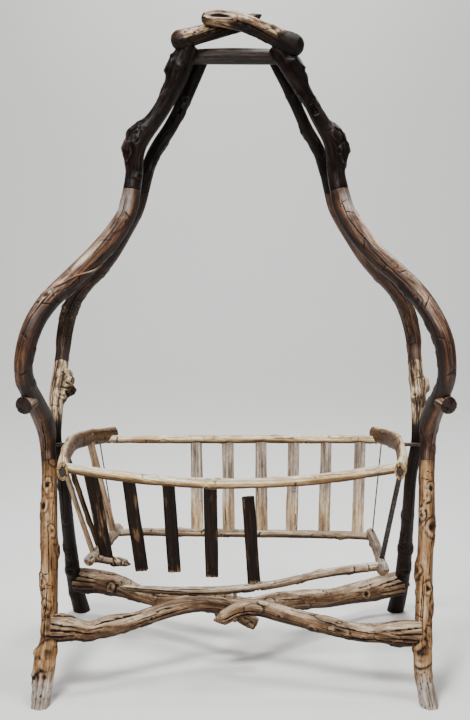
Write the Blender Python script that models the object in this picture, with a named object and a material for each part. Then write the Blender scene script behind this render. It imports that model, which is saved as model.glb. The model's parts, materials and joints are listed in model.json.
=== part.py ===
"""A swinging baby cradle made of crooked natural logs.

Two bowed side frames, each a front and a rear member of leg, arch and rafter logs, meet under
a crown of two crossed logs and a ridge rail. Four stretchers tie the legs near the floor. A
slatted basket swings between the waists of the frames on two iron pins along X.
Units are metres, +Z is up, +X is the right-hand side and the front faces -Y. The origin is on
the floor in the middle of the feet.
"""

import math

import bmesh
import bpy
from mathutils import Matrix, Vector

# ---- Clearances ----
FIT_GAP = 0.0003          # between any two pieces that touch
COPE_GAP = 0.0007         # between a log and the hollowed end that is fitted round it
PIN_RUNNING_GAP = 0.0006  # between a pivot pin and its bore in the basket
SWING_GAP = 0.0095        # between the basket's end logs and the rear legs

# ---- Side frames: widths are from the mid-plane outwards, depths from it to front or rear ----
FOOT_WIDTH = 0.434
FOOT_DEPTH = 0.310
WAIST_HEIGHT = 0.535
WAIST_WIDTH_FRONT = 0.468
WAIST_DEPTH_FRONT = 0.040
WAIST_DEPTH_REAR = 0.006
BELLY_RISE = 0.221        # waist to belly
BELLY_WIDTH = 0.485
BELLY_DEPTH = 0.250
ELBOW_RISE = 0.400        # belly to elbow
ELBOW_WIDTH = 0.250
ELBOW_DEPTH = 0.045
CROWN_RISE = 0.360        # elbow to the tops of the rafters
CROWN_WIDTH = 0.106
CROWN_DEPTH = 0.024
REAR_SET_IN = 0.022       # a rear rafter stands this much nearer the middle
SPLICE_DROP_FRONT = 0.043   # leg splice below the waist
SPLICE_RISE_REAR = 0.163    # leg splice above the waist
STUB_LENGTH = 0.058       # the sawn branch below a front belly
REAR_LEG_WAIST_RADIUS = 0.0165
REAR_RIGHT_SPREAD = 0.020   # how much wider the rear right member stands than the left one
WAIST_BOLT_RISE = 0.030   # above the waist
FOOT_SINK = 0.020         # how far a leg is drawn below the floor before it is cut level

# ---- Splices ----
SPLICE_TENON_RADIUS = 0.0085
SPLICE_TENON_LENGTH = 0.030

# ---- Crown ----
CROWN_LOG_RADIUS = 0.0205
RIDGE_RADIUS = 0.0215
RIDGE_DROP = 0.024        # ridge rail's centre below the rafter tops
RIDGE_OVERHANG = 0.004    # ridge rail past the rafters' centres

# ---- Stretchers ----
STRETCHER_RADIUS = 0.0190
STRETCHER_FLARE = 0.0340  # a stretcher's radius at its leg
STRETCHER_FLARE_LENGTH = 0.076
STRETCHER_HEIGHT_FRONT = 0.143   # at the legs
STRETCHER_HEIGHT_REAR = 0.096
STRETCHER_CROSS_HEIGHT = 0.136
STRETCHER_PITCH = 0.0450  # from one stretcher to the next where all four cross
STRETCHER_CROSS_DEPTH = 0.128  # the foremost stretcher where they cross

# ---- Basket ----
END_LOG_REACH = 0.413     # centre of an end log at its outermost point
PIN_HEIGHT = 0.522
PIN_RADIUS = 0.0050
PIN_HOLD = 0.024          # length of pin inside its leg
PIN_REACH = 0.006         # how far past the middle of an end log it goes
BASKET_SHIFT = 0.021      # moves the basket to the rear, so that it hangs level
END_LOG_HALF_WIDTH = 0.0130
END_LOG_HALF_HEIGHT = 0.0215
RAIL_TENON_SHARE = 0.66   # a rail's tenon against the rail's own radius
RIM_DEPTH = 0.190
RIM_HEIGHT = 0.497
RIM_OVERHANG = 0.024      # an end log past its rail
FRONT_RIM_RADIUS = 0.0125
REAR_RIM_RADIUS = 0.0110
FRONT_RIM_SAG = 0.032
FRONT_RIM_BOW = 0.015
REAR_RIM_DROP = 0.011     # the rear rail below the middle of the end logs
FLOOR_DEPTH_FRONT = 0.142
FLOOR_DEPTH_REAR = 0.123
FLOOR_HEIGHT = 0.267
FLOOR_END_RADIUS = 0.0125
FLOOR_RAIL_RADIUS = 0.0105
FLOOR_END_OVERHANG = 0.022
DROOP = 0.058             # how far the broken front floor rail has fallen
DROOP_REACH = 0.612       # its length along X
STUB_REACH = 0.078        # what is left of it at the other corner

# ---- Slats ----
SLAT_WIDTH = 0.030
SLAT_THICKNESS = 0.009
SLAT_TENON_WIDTH = 0.020
SLAT_TENON_THICKNESS = 0.0055
SLAT_TENON_LENGTH = 0.010
POST_RADIUS = 0.0064
REAR_POST_RADIUS = 0.0099
ROD_RADIUS = 0.0067
WIRE_RADIUS = 0.0018
CORNER_HOLE_DEPTH = 0.010
CORNER_SET_IN = 0.032     # a front corner post or rod from its top rail
REAR_POST_SET_IN = 0.062
TIE_SET_IN = 0.0255       # a rear tie from the rear top rail

# ---- Fasteners ----
PEG_RADIUS = 0.0055
BOLT_RADIUS = 0.0040
BOLT_HEAD_RADIUS = 0.0085
BOLT_HEAD_LENGTH = 0.0050
SPIKE_RADIUS = 0.0030
SPIKE_HEAD_RADIUS = 0.0060
SPIKE_HEAD_LENGTH = 0.0025

# ---- Mesh fineness ----
LOG_SIDES = 10
THIN_SIDES = 8
LOG_STEP = 0.040          # between the rings of a log
CURVE_SAMPLES = 24        # samples between two knots of a centreline
END_ROUNDING = 0.35       # share of the radius taken up by a rounded end

# ---- Worked-out places ----
BELLY_HEIGHT = WAIST_HEIGHT + BELLY_RISE
ELBOW_HEIGHT = BELLY_HEIGHT + ELBOW_RISE
CROWN_HEIGHT = ELBOW_HEIGHT + CROWN_RISE
WAIST_WIDTH_REAR = (
    END_LOG_REACH + END_LOG_HALF_WIDTH + SWING_GAP + REAR_LEG_WAIST_RADIUS
)
RIM_FRONT_Y = BASKET_SHIFT - RIM_DEPTH
RIM_REAR_Y = BASKET_SHIFT + RIM_DEPTH
FLOOR_FRONT_Y = BASKET_SHIFT - FLOOR_DEPTH_FRONT
FLOOR_REAR_Y = BASKET_SHIFT + FLOOR_DEPTH_REAR

LEFT, RIGHT = -1.0, 1.0
FRONT, REAR = -1.0, 1.0
SIDE_NAMES = {LEFT: "left", RIGHT: "right"}
UP = Vector((0, 0, 1))
ALONG_X = Vector((1, 0, 0))
ALONG_Y = Vector((0, 1, 0))


# ---------------------------------------------------------------- materials
COLOURS = {
    "leg_wood": ((0.250, 0.130, 0.055), 0.75),
    "rear_leg_wood": ((0.110, 0.060, 0.030), 0.75),
    "arch_wood": ((0.150, 0.070, 0.032), 0.60),
    "rafter_wood": ((0.045, 0.024, 0.014), 0.50),
    "crown_wood": ((0.330, 0.220, 0.110), 0.70),
    "ridge_wood": ((0.070, 0.045, 0.028), 0.65),
    "stretcher_wood": ((0.280, 0.180, 0.110), 0.80),
    "rim_wood": ((0.440, 0.340, 0.210), 0.75),
    "floor_wood": ((0.360, 0.310, 0.240), 0.80),
    "pale_slat_wood": ((0.330, 0.270, 0.210), 0.80),
    "dark_slat_wood": ((0.060, 0.035, 0.022), 0.75),
    "peg_wood": ((0.200, 0.120, 0.060), 0.70),
    "iron": ((0.050, 0.045, 0.042), 0.55),
}


def material_named(name):
    """The Principled material of that name, made the first time it is asked for."""
    material = bpy.data.materials.get(name)
    if material is None:
        material = bpy.data.materials.new(name)
        material.use_nodes = True
        colour, roughness = COLOURS[name]
        shader = material.node_tree.nodes["Principled BSDF"]
        shader.inputs["Base Color"].default_value = (*colour, 1.0)
        shader.inputs["Roughness"].default_value = roughness
        shader.inputs["Metallic"].default_value = 1.0 if name == "iron" else 0.0
    return material


# ---------------------------------------------------------------- centrelines
def knot(width, depth, height, radius):
    """A point on a log's centreline and the log's radius there, as one four-number vector."""
    return Vector((width, depth, height, radius))


def bent(start, end, *bends):
    """Knots from start to end. A bend is (share of the way, then what it adds to the chord)."""
    middle = [start.lerp(end, share) + Vector(offset) for share, offset in bends]
    return [start, *middle, end]


def placed(knots, side, face):
    """The knots with widths and depths turned into X and Y for that side and face."""
    return [Vector((side * k[0], face * k[1], k[2], k[3])) for k in knots]


class Centreline:
    """A smooth curve through knots, which can be read at any length along it."""

    def __init__(self, knots):
        before = knots[0] * 2 - knots[1]
        after = knots[-1] * 2 - knots[-2]
        full = [before, *knots, after]
        self.points = []
        for i in range(1, len(full) - 2):
            for j in range(CURVE_SAMPLES):
                self.points.append(self.between(*full[i - 1 : i + 3], j / CURVE_SAMPLES))
        self.points.append(knots[-1].copy())
        self.lengths = [0.0]
        for a, b in zip(self.points, self.points[1:]):
            self.lengths.append(self.lengths[-1] + (b - a).xyz.length)
        self.length = self.lengths[-1]

    @staticmethod
    def between(p0, p1, p2, p3, share):
        """A centripetal Catmull-Rom point between p1 and p2."""
        ends = [p0, p1, p2, p3]
        times = [0.0]
        for a, b in zip(ends, ends[1:]):
            times.append(times[-1] + math.sqrt(max((b - a).xyz.length, 1e-6)))
        t0, t1, t2, t3 = times
        t = t1 + (t2 - t1) * share
        a1 = p0.lerp(p1, (t - t0) / (t1 - t0))
        a2 = p1.lerp(p2, (t - t1) / (t2 - t1))
        a3 = p2.lerp(p3, (t - t2) / (t3 - t2))
        b1 = a1.lerp(a2, (t - t0) / (t2 - t0))
        b2 = a2.lerp(a3, (t - t1) / (t3 - t1))
        return b1.lerp(b2, (t - t1) / (t2 - t1))

    def at(self, length):
        """The knot at that length. Past an end it goes straight on at the end's radius."""
        if length < 0:
            point = self.points[0].copy()
            point.xyz += self.direction(0) * length
            return point
        if length > self.length:
            point = self.points[-1].copy()
            point.xyz += self.direction(self.length) * (length - self.length)
            return point
        for i, end in enumerate(self.lengths[1:]):
            if length <= end:
                start = self.lengths[i]
                share = (length - start) / max(end - start, 1e-9)
                return self.points[i].lerp(self.points[i + 1], share)
        return self.points[-1].copy()

    def direction(self, length):
        """The unit tangent at that length."""
        reach = 0.004
        low = min(max(length - reach, 0.0), self.length - reach)
        high = min(low + 2 * reach, self.length)
        return (self.at(high) - self.at(low)).xyz.normalized()

    def length_at_height(self, height):
        """The first length at which the curve is this high."""
        for i, (a, b) in enumerate(zip(self.points, self.points[1:])):
            if min(a.z, b.z) <= height <= max(a.z, b.z):
                share = (height - a.z) / ((b.z - a.z) or 1e-9)
                return self.lengths[i] + share * (self.lengths[i + 1] - self.lengths[i])
        raise ValueError(f"no point at height {height}")

    def length_at_x(self, x):
        """The first length at which the curve is this far along X."""
        for i, (a, b) in enumerate(zip(self.points, self.points[1:])):
            if min(a.x, b.x) <= x <= max(a.x, b.x):
                share = (x - a.x) / ((b.x - a.x) or 1e-9)
                return self.lengths[i] + share * (self.lengths[i + 1] - self.lengths[i])
        raise ValueError(f"no point at x {x}")

    def length_at_y(self, y):
        """The first length at which the curve is this far along Y."""
        for i, (a, b) in enumerate(zip(self.points, self.points[1:])):
            if min(a.y, b.y) <= y <= max(a.y, b.y):
                share = (y - a.y) / ((b.y - a.y) or 1e-9)
                return self.lengths[i] + share * (self.lengths[i + 1] - self.lengths[i])
        raise ValueError(f"no point at y {y}")


# ---------------------------------------------------------------- mesh building
def new_object(name, shape, material):
    """An object of that bmesh, its normals out and its round faces smooth."""
    bmesh.ops.recalc_face_normals(shape, faces=shape.faces[:])
    mesh = bpy.data.meshes.new(name)
    shape.to_mesh(mesh)
    shape.free()
    mesh.shade_smooth()
    mesh.set_sharp_from_angle(angle=math.radians(40))
    mesh.materials.append(material_named(material))
    thing = bpy.data.objects.new(name, mesh)
    bpy.context.scene.collection.objects.link(thing)
    return thing


def cross_section(centre, direction, reference, half_width, half_height):
    """A matrix that puts a unit circle square to the direction, its Y axis by the reference."""
    across = direction.cross(reference).normalized()
    upright = across.cross(direction).normalized()
    frame = Matrix.Identity(4)
    frame.col[0].xyz = across * half_width
    frame.col[1].xyz = upright * half_height
    frame.col[2].xyz = direction
    frame.col[3].xyz = centre
    return frame


def loft(sections, sides, turn=0.0):
    """A closed tube through the sections: a circle drawn in the first and extruded to the rest."""
    shape = bmesh.new()
    start = sections[0] @ Matrix.Rotation(turn, 4, "Z")
    made = bmesh.ops.create_circle(shape, cap_ends=True, radius=1.0, segments=sides, matrix=start)
    ring = made["verts"]
    edges = list({edge for corner in ring for edge in corner.link_edges})
    for before, after in zip(sections, sections[1:]):
        grown = bmesh.ops.extrude_edge_only(shape, edges=edges)["geom"]
        ring = [item for item in grown if isinstance(item, bmesh.types.BMVert)]
        edges = [
            item
            for item in grown
            if isinstance(item, bmesh.types.BMEdge) and all(v in ring for v in item.verts)
        ]
        bmesh.ops.transform(shape, matrix=after @ before.inverted(), verts=ring)
    bmesh.ops.edgeloop_fill(shape, edges=edges)
    return shape


def even_steps(start, end, step):
    """Lengths from start to end, both included, about a step apart."""
    count = max(1, round(abs(end - start) / step))
    return [start + (end - start) * i / count for i in range(count + 1)]


def end_rings(length, radius, inward, kind, tenon):
    """(length, radius) rings of a log's end, from the end's tip towards the log's middle.

    inward is +1 at the start of a log and -1 at its end. tenon is (radius, length).
    """
    if kind == "round":
        rise = END_ROUNDING * radius
        return [
            (length - inward * rise * math.sqrt(1 - share * share), share * radius)
            for share in (0.45, 0.82)
        ]
    if kind == "tenon":
        thickness, reach = tenon
        return [(length - inward * reach, thickness), (length, thickness)]
    if kind == "socket":
        thickness, reach = tenon
        depth = reach + FIT_GAP * 2
        bore = thickness + FIT_GAP
        return [(length + inward * depth, bore), (length, bore)]
    return []


def make_log(name, line, material, start=0.0, end=None, ends=("cut", "cut"), reference=UP,
             flat=(1.0, 1.0), sides=LOG_SIDES, step=LOG_STEP, grow=0.0,
             tenon=(SPLICE_TENON_RADIUS, SPLICE_TENON_LENGTH)):
    """A log along a centreline from one length to another.

    flat scales the radius into half-width and half-height, and grow adds to it, for a cutter.
    """
    end = line.length if end is None else end
    rings = end_rings(start, line.at(start).w, 1, ends[0], tenon)
    rings += [(length, line.at(length).w) for length in even_steps(start, end, step)]
    rings += reversed(end_rings(end, line.at(end).w, -1, ends[1], tenon))
    sections = []
    for length, radius in rings:
        sections.append(
            cross_section(
                line.at(length).xyz,
                line.direction(length),
                reference,
                radius * flat[0] + grow,
                radius * flat[1] + grow,
            )
        )
    return new_object(name, loft(sections, sides, math.pi / sides), material)


def make_rod(name, start, end, radius, material, sides=THIN_SIDES, head=None):
    """A straight round rod. head is (radius, length) of a head at its start."""
    along = (end - start).normalized()
    reference = UP if abs(along.z) < 0.8 else ALONG_X
    rings = [(start, radius), (end, radius)]
    if head:
        rings = [(start, head[0]), (start + along * head[1], head[0]),
                 (start + along * head[1], radius), (end, radius)]
    sections = [cross_section(p, along, reference, r, r) for p, r in rings]
    return new_object(name, loft(sections, sides, math.pi / sides), material)


def make_board(name, top, bottom, material, tenons=(True, True), facing=ALONG_X, grow=0.0):
    """A slat from its top shoulder to its bottom one, with a tenon past each where asked."""
    along = (bottom - top).normalized()
    full = (SLAT_WIDTH, SLAT_THICKNESS)
    thin = (SLAT_TENON_WIDTH, SLAT_TENON_THICKNESS)
    stations = [(top, full), (bottom, full)]
    if tenons[0]:
        stations = [(top - along * SLAT_TENON_LENGTH, thin), (top, thin)] + stations
    if tenons[1]:
        stations += [(bottom, thin), (bottom + along * SLAT_TENON_LENGTH, thin)]
    return new_object(name, box_loft(stations, along, facing, grow), material)


def box_loft(stations, along, facing, grow):
    """A rectangular loft: each station is (centre, (width, thickness)), its width by facing."""
    corner = math.sqrt(2.0)
    sections = []
    for centre, (width, thickness) in stations:
        sections.append(
            cross_section(
                centre,
                along,
                facing,
                (thickness / 2 + grow) * corner,
                (width / 2 + grow) * corner,
            )
        )
    return loft(sections, 4, math.pi / 4)


# ---------------------------------------------------------------- cutting
def as_cutter(thing):
    """Marks an object as a helper that only cuts."""
    thing.hide_render = True
    thing.display_type = "WIRE"
    return thing


def combine(target, other, operation):
    """A Boolean on the target with the exact solver."""
    modifier = target.modifiers.new(f"{operation.lower()}_{other.name}", "BOOLEAN")
    modifier.operation = operation
    modifier.solver = "EXACT"
    modifier.object = other


def bore(targets, name, start, end, radius, sides=THIN_SIDES, head=None):
    """A round hole through each target, with a wider seat at its start where head says."""
    cutter = as_cutter(make_rod(name, start, end, radius, "iron", sides, head))
    for target in targets:
        combine(target, cutter, "DIFFERENCE")


def fit_rod(name, start, end, radius, material, targets, head=None, gap=FIT_GAP):
    """A rod, with the hole for it and the seat for its head in each target."""
    rod = make_rod(name, start, end, radius, material, head=head)
    along = (end - start).normalized()
    seat = (head[0] + gap, head[1] + 2 * gap) if head else None
    bore(targets, f"cut_{name}", start - along * gap, end + along * gap, radius + gap,
         head=seat)
    return rod


def mortise(target, name, shoulder, along, facing=ALONG_X):
    """A slat's mortise: it runs from above the shoulder along the tenon's direction."""
    thin = (SLAT_TENON_WIDTH, SLAT_TENON_THICKNESS)
    mouth = shoulder - along * SLAT_THICKNESS
    foot = shoulder + along * (SLAT_TENON_LENGTH + FIT_GAP)
    shape = box_loft([(mouth, thin), (foot, thin)], along, facing, FIT_GAP)
    combine(target, as_cutter(new_object(name, shape, "iron")), "DIFFERENCE")


# ---------------------------------------------------------------- side frames
def front_member(side):
    """Knots of a front leg, arch and rafter from the floor up."""
    foot = knot(FOOT_WIDTH, FOOT_DEPTH, 0.0, 0.0225)
    waist = knot(WAIST_WIDTH_FRONT - 0.006, WAIST_DEPTH_FRONT, WAIST_HEIGHT, 0.0205)
    if side == RIGHT:
        waist.x += 0.014
    belly = knot(BELLY_WIDTH, BELLY_DEPTH, BELLY_HEIGHT, 0.0222)
    elbow = knot(ELBOW_WIDTH, ELBOW_DEPTH, ELBOW_HEIGHT, 0.0214)
    crown = knot(CROWN_WIDTH, CROWN_DEPTH, CROWN_HEIGHT, 0.0183)
    leg_bends = (
        (0.10, (-0.008, 0.001, 0, -0.0012)),
        (0.22, (-0.015, 0.004, 0, -0.0045)),
        (0.36, (-0.016, 0.007, 0, -0.0030)),
        (0.50, (-0.014, 0.007, 0, -0.0018)),
        (0.64, (-0.009, 0.004, 0, -0.0003)),
        (0.80, (-0.008, 0.001, 0, -0.0020)),
        (0.92, (-0.005, -0.004, 0, -0.0036)),
    )
    if side == RIGHT:
        leg_bends = (
            (0.10, (-0.013, 0.001, 0, -0.0020)),
            (0.22, (-0.015, 0.004, 0, -0.0036)),
            (0.36, (-0.013, 0.007, 0, -0.0022)),
            (0.52, (-0.010, 0.007, 0, -0.0024)),
            (0.68, (-0.005, 0.004, 0, -0.0005)),
            (0.90, (-0.003, -0.003, 0, -0.0016)),
        )
    lower_bends = (
        (0.12, (-0.004, -0.012, 0, 0.0025)),
        (0.32, (-0.004, -0.020, 0, 0.0040)),
        (0.52, (0.002, 0.000, 0, 0.0028)),
        (0.75, (0.005, 0.020, 0, 0.0010)),
    )
    upper_bends = (
        (0.14, (0.022, 0.029, 0, 0.0018)),
        (0.27, (0.034, 0.031, 0, 0.0024)),
        (0.39, (0.026, 0.020, 0, 0.0030)),
        (0.53, (0.001, 0.010, 0, 0.0045)),
        (0.68, (-0.018, 0.002, 0, 0.0046)),
        (0.84, (-0.022, -0.001, 0, 0.0034)),
    )
    if side == RIGHT:
        upper_bends = (
            (0.13, (0.023, 0.029, 0, 0.0022)),
            (0.25, (0.034, 0.036, 0, 0.0022)),
            (0.36, (0.035, 0.027, 0, 0.0028)),
            (0.48, (0.025, 0.018, 0, 0.0018)),
            (0.59, (0.001, 0.010, 0, 0.0042)),
            (0.77, (-0.017, 0.004, 0, 0.0055)),
        )
    rafter_bends = (
        (0.12, (0.014, 0.000, 0, 0.0012)),
        (0.29, (0.040, 0.002, 0, 0.0045)),
        (0.37, (0.036, 0.002, 0, 0.0050)),
        (0.48, (0.018, 0.001, 0, 0.0020)),
        (0.58, (0.011, 0.001, 0, 0.0018)),
        (0.76, (0.004, 0.001, 0, 0.0050)),
        (0.87, (0.010, 0.002, 0, 0.0100)),
    )
    if side == RIGHT:
        rafter_bends = (
            (0.12, (0.014, 0.000, 0, 0.0012)),
            (0.30, (0.043, 0.002, 0, 0.0068)),
            (0.41, (0.033, 0.002, 0, 0.0010)),
            (0.54, (0.026, 0.001, 0, -0.0010)),
            (0.66, (0.022, 0.001, 0, -0.0015)),
            (0.79, (0.013, 0.001, 0, 0.0040)),
            (0.88, (0.008, 0.002, 0, 0.0105)),
        )
    knots = bent(foot, waist, *leg_bends)
    knots += bent(waist, belly, *lower_bends)[1:]
    knots += bent(belly, elbow, *upper_bends)[1:]
    knots += bent(elbow, crown, *rafter_bends)[1:]
    return placed(knots, side, FRONT)


def rear_member(side):
    """Knots of a rear leg, arch and rafter from the floor up."""
    spread = REAR_RIGHT_SPREAD if side == RIGHT else 0.0
    foot = knot(FOOT_WIDTH - 0.010 + spread, FOOT_DEPTH, 0.0, 0.0235)
    waist = knot(WAIST_WIDTH_REAR + spread * 0.35, WAIST_DEPTH_REAR, WAIST_HEIGHT,
                 REAR_LEG_WAIST_RADIUS)
    belly = knot(BELLY_WIDTH - 0.018 + spread, BELLY_DEPTH, BELLY_HEIGHT, 0.0225)
    elbow = knot(ELBOW_WIDTH - REAR_SET_IN * 0.7 + spread * 0.3, ELBOW_DEPTH - 0.003,
                 ELBOW_HEIGHT, 0.0190)
    crown = knot(CROWN_WIDTH - REAR_SET_IN + spread * 0.3, CROWN_DEPTH - 0.002,
                 CROWN_HEIGHT - 0.018, 0.0150)
    leg_bends = (
        (0.16, (0.008, 0.003, 0, -0.0020)),
        (0.29, (0.008, 0.010, 0, -0.0020)),
        (0.48, (0.005, 0.014, 0, -0.0025)),
        (0.66, (-0.002, 0.002, 0, -0.0025)),
        (0.82, (-0.006, 0.002, 0, -0.0020)),
        (0.92, (-0.002, 0.002, 0, -0.0010)),
    )
    lower_bends = (
        (0.19, (-0.003, -0.026, 0, -0.0015)),
        (0.36, (0.002, -0.026, 0, 0.0008)),
        (0.55, (0.002, -0.008, 0, -0.0010)),
        (0.75, (-0.002, 0.008, 0, -0.0025)),
    )
    upper_bends = (
        (0.14, (0.022, 0.029, 0, 0.0010)),
        (0.28, (0.032, 0.035, 0, 0.0005)),
        (0.39, (0.022, 0.026, 0, -0.0005)),
        (0.56, (-0.003, 0.010, 0, 0.0010)),
        (0.73, (-0.008, 0.002, 0, 0.0015)),
        (0.87, (-0.010, -0.002, 0, 0.0012)),
    )
    rafter_bends = (
        (0.17, (0.012, 0.001, 0, -0.0010)),
        (0.32, (0.014, 0.001, 0, 0.0005)),
        (0.44, (0.000, 0.001, 0, 0.0010)),
        (0.60, (-0.004, 0.001, 0, 0.0006)),
        (0.82, (-0.006, 0.001, 0, 0.0016)),
    )
    if side == RIGHT:
        rafter_bends = (
            (0.17, (0.014, 0.001, 0, -0.0015)),
            (0.32, (0.018, 0.001, 0, -0.0010)),
            (0.44, (0.010, 0.001, 0, -0.0010)),
            (0.60, (0.010, 0.001, 0, -0.0014)),
            (0.82, (0.006, 0.001, 0, -0.0010)),
        )
    knots = bent(foot, waist, *leg_bends)
    knots += bent(waist, belly, *lower_bends)[1:]
    knots += bent(belly, elbow, *upper_bends)[1:]
    knots += bent(elbow, crown, *rafter_bends)[1:]
    return placed(knots, side, REAR)


def stand_on_floor(leg):
    """Cuts a leg level at the floor."""
    shape = bmesh.new()
    shape.from_mesh(leg.data)
    everything = shape.verts[:] + shape.edges[:] + shape.faces[:]
    bmesh.ops.bisect_plane(shape, geom=everything, plane_co=(0, 0, 0), plane_no=UP,
                           clear_inner=True)
    bmesh.ops.holes_fill(shape, edges=shape.edges[:])
    shape.to_mesh(leg.data)
    shape.free()
    leg.data.shade_smooth()
    leg.data.set_sharp_from_angle(angle=math.radians(40))


def make_side(side, face):
    """The leg, arch and rafter of one member, and its centreline."""
    end_name = "front" if face == FRONT else "rear"
    line = Centreline(front_member(side) if face == FRONT else rear_member(side))
    splice_height = WAIST_HEIGHT - SPLICE_DROP_FRONT
    if face == REAR:
        splice_height = WAIST_HEIGHT + SPLICE_RISE_REAR
    splice = line.length_at_height(splice_height)
    elbow = line.length_at_height(ELBOW_HEIGHT)
    half_gap = FIT_GAP / 2
    tag = f"{end_name}_{SIDE_NAMES[side]}"
    leg = make_log(f"{tag}_leg", line, "leg_wood" if face == FRONT else "rear_leg_wood",
                   -FOOT_SINK, splice - half_gap, ("cut", "tenon"), ALONG_X)
    stand_on_floor(leg)
    arch = make_log(f"{tag}_arch", line, "arch_wood", splice + half_gap, elbow - half_gap,
                    ("socket", "socket"), ALONG_X)
    rafter = make_log(f"{tag}_rafter", line, "rafter_wood", elbow + half_gap, line.length,
                      ("tenon", "round"), ALONG_X)
    return {"line": line, "leg": leg, "arch": arch, "rafter": rafter}


def add_branch_stub(frame, side):
    """The sawn branch end that points forwards and out where a front arch turns to its waist."""
    line = frame["line"]
    fork = line.at(line.length_at_height(WAIST_HEIGHT + BELLY_RISE * 0.56))
    thick = fork.w * 0.98
    root = Vector((fork.x + side * 0.004, fork.y + 0.006, fork.z - 0.004, thick * 0.72))
    bend = Vector((fork.x + side * 0.004, fork.y - STUB_LENGTH * 0.40, fork.z + 0.002, thick))
    tip = Vector((fork.x + side * 0.017, fork.y - STUB_LENGTH, fork.z - 0.007, thick * 0.98))
    stub = make_log(f"stub_{SIDE_NAMES[side]}", Centreline([root, bend, tip]), "arch_wood",
                    reference=ALONG_X)
    combine(frame["arch"], as_cutter(stub), "UNION")


def make_waist(frames, side):
    """The bolt that draws a front and a rear member together above the pivot."""
    front, rear = frames[side, FRONT], frames[side, REAR]
    height = WAIST_HEIGHT + WAIST_BOLT_RISE
    a = front["line"].at(front["line"].length_at_height(height))
    b = rear["line"].at(rear["line"].length_at_height(height))
    x = (a.x + b.x) / 2
    start = Vector((x, a.y - a.w - BOLT_HEAD_LENGTH * 0.7, height))
    end = Vector((x, b.y + b.w + 0.004, height))
    fit_rod(f"waist_bolt_{SIDE_NAMES[side]}", start, end, BOLT_RADIUS, "iron",
            [front["arch"], rear["leg"]], head=(BOLT_HEAD_RADIUS, BOLT_HEAD_LENGTH))


# ---------------------------------------------------------------- crown
def make_crown(frames):
    """The two crossed crown logs, the ridge rail under them, and what holds them."""
    top = CROWN_HEIGHT
    r = CROWN_LOG_RADIUS
    lap = CROWN_DEPTH + 0.015
    left = Centreline([
        Vector((-CROWN_WIDTH - 0.047, -lap, top + 0.006, r * 1.38)),
        Vector((-CROWN_WIDTH - 0.022, -lap + 0.001, top + 0.014, r * 1.30)),
        Vector((-CROWN_WIDTH + 0.004, -lap + 0.004, top + 0.023, r * 1.12)),
        Vector((-0.060, -lap + 0.026, top + 0.037, r * 1.05)),
        Vector((0.000, 0.004, top + 0.056, r)),
        Vector((0.036, 0.010, top + 0.070, r * 0.80)),
        Vector((0.066, 0.014, top + 0.084, r * 0.42)),
    ])
    right = Centreline([
        Vector((-0.082, -lap - 0.008, top + 0.062, r * 0.62)),
        Vector((-0.045, -lap - 0.008, top + 0.066, r * 1.02)),
        Vector((0.000, -lap - 0.007, top + 0.059, r * 1.12)),
        Vector((0.040, -lap - 0.006, top + 0.047, r * 1.08)),
        Vector((0.080, -lap - 0.004, top + 0.029, r * 1.08)),
        Vector((CROWN_WIDTH + 0.018, -lap, top + 0.009, r * 1.28)),
        Vector((CROWN_WIDTH + 0.044, -lap, top - 0.004, r * 1.60)),
        Vector((CROWN_WIDTH + 0.060, -lap, top - 0.011, r * 1.55)),
    ])
    crown_logs = {}
    for side, line in ((LEFT, left), (RIGHT, right)):
        name = f"crown_log_{SIDE_NAMES[side]}"
        crown_logs[side] = make_log(name, line, "crown_wood", ends=("round", "round"))
        bed = make_log(f"bed_{name}", line, "crown_wood", -COPE_GAP, line.length + COPE_GAP,
                       ("round", "round"), grow=COPE_GAP)
        combine(frames[side, FRONT]["rafter"], as_cutter(bed), "DIFFERENCE")

    reach = CROWN_WIDTH + RIDGE_OVERHANG
    height = top - RIDGE_DROP
    ridge_line = Centreline([
        Vector((-reach, 0.0, height, RIDGE_RADIUS * 0.92)),
        Vector((0.0, 0.001, height + 0.001, RIDGE_RADIUS)),
        Vector((reach, 0.0, height - 0.001, RIDGE_RADIUS * 0.94)),
    ])
    make_log("ridge_rail", ridge_line, "ridge_wood", ends=("round", "round"))
    bed = make_log("bed_ridge_rail", ridge_line, "ridge_wood", -FIT_GAP * 2,
                   ridge_line.length + FIT_GAP * 2, ("round", "round"), grow=FIT_GAP)
    as_cutter(bed)
    for frame in frames.values():
        combine(frame["rafter"], bed, "DIFFERENCE")

    a, b = right.at(right.length_at_x(0.0)), left.at(left.length_at_x(0.0))
    height = (a.z + b.z) / 2
    fit_rod("crown_peg", Vector((0, a.y - a.w - 0.006, height)),
            Vector((0, b.y + b.w + 0.006, height)), PEG_RADIUS, "peg_wood",
            [crown_logs[LEFT], crown_logs[RIGHT]])
    for side, line in ((LEFT, left), (RIGHT, right)):
        x = side * (CROWN_WIDTH + 0.014)
        over = line.at(line.length_at_x(x))
        y = over.y + 0.008
        fit_rod(f"crown_nail_{SIDE_NAMES[side]}",
                Vector((x, y, over.z + over.w + 0.001)), Vector((x, y, over.z - 0.070)),
                SPIKE_RADIUS, "iron", [crown_logs[side], frames[side, FRONT]["rafter"]],
                head=(SPIKE_HEAD_RADIUS, SPIKE_HEAD_LENGTH))


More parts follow.
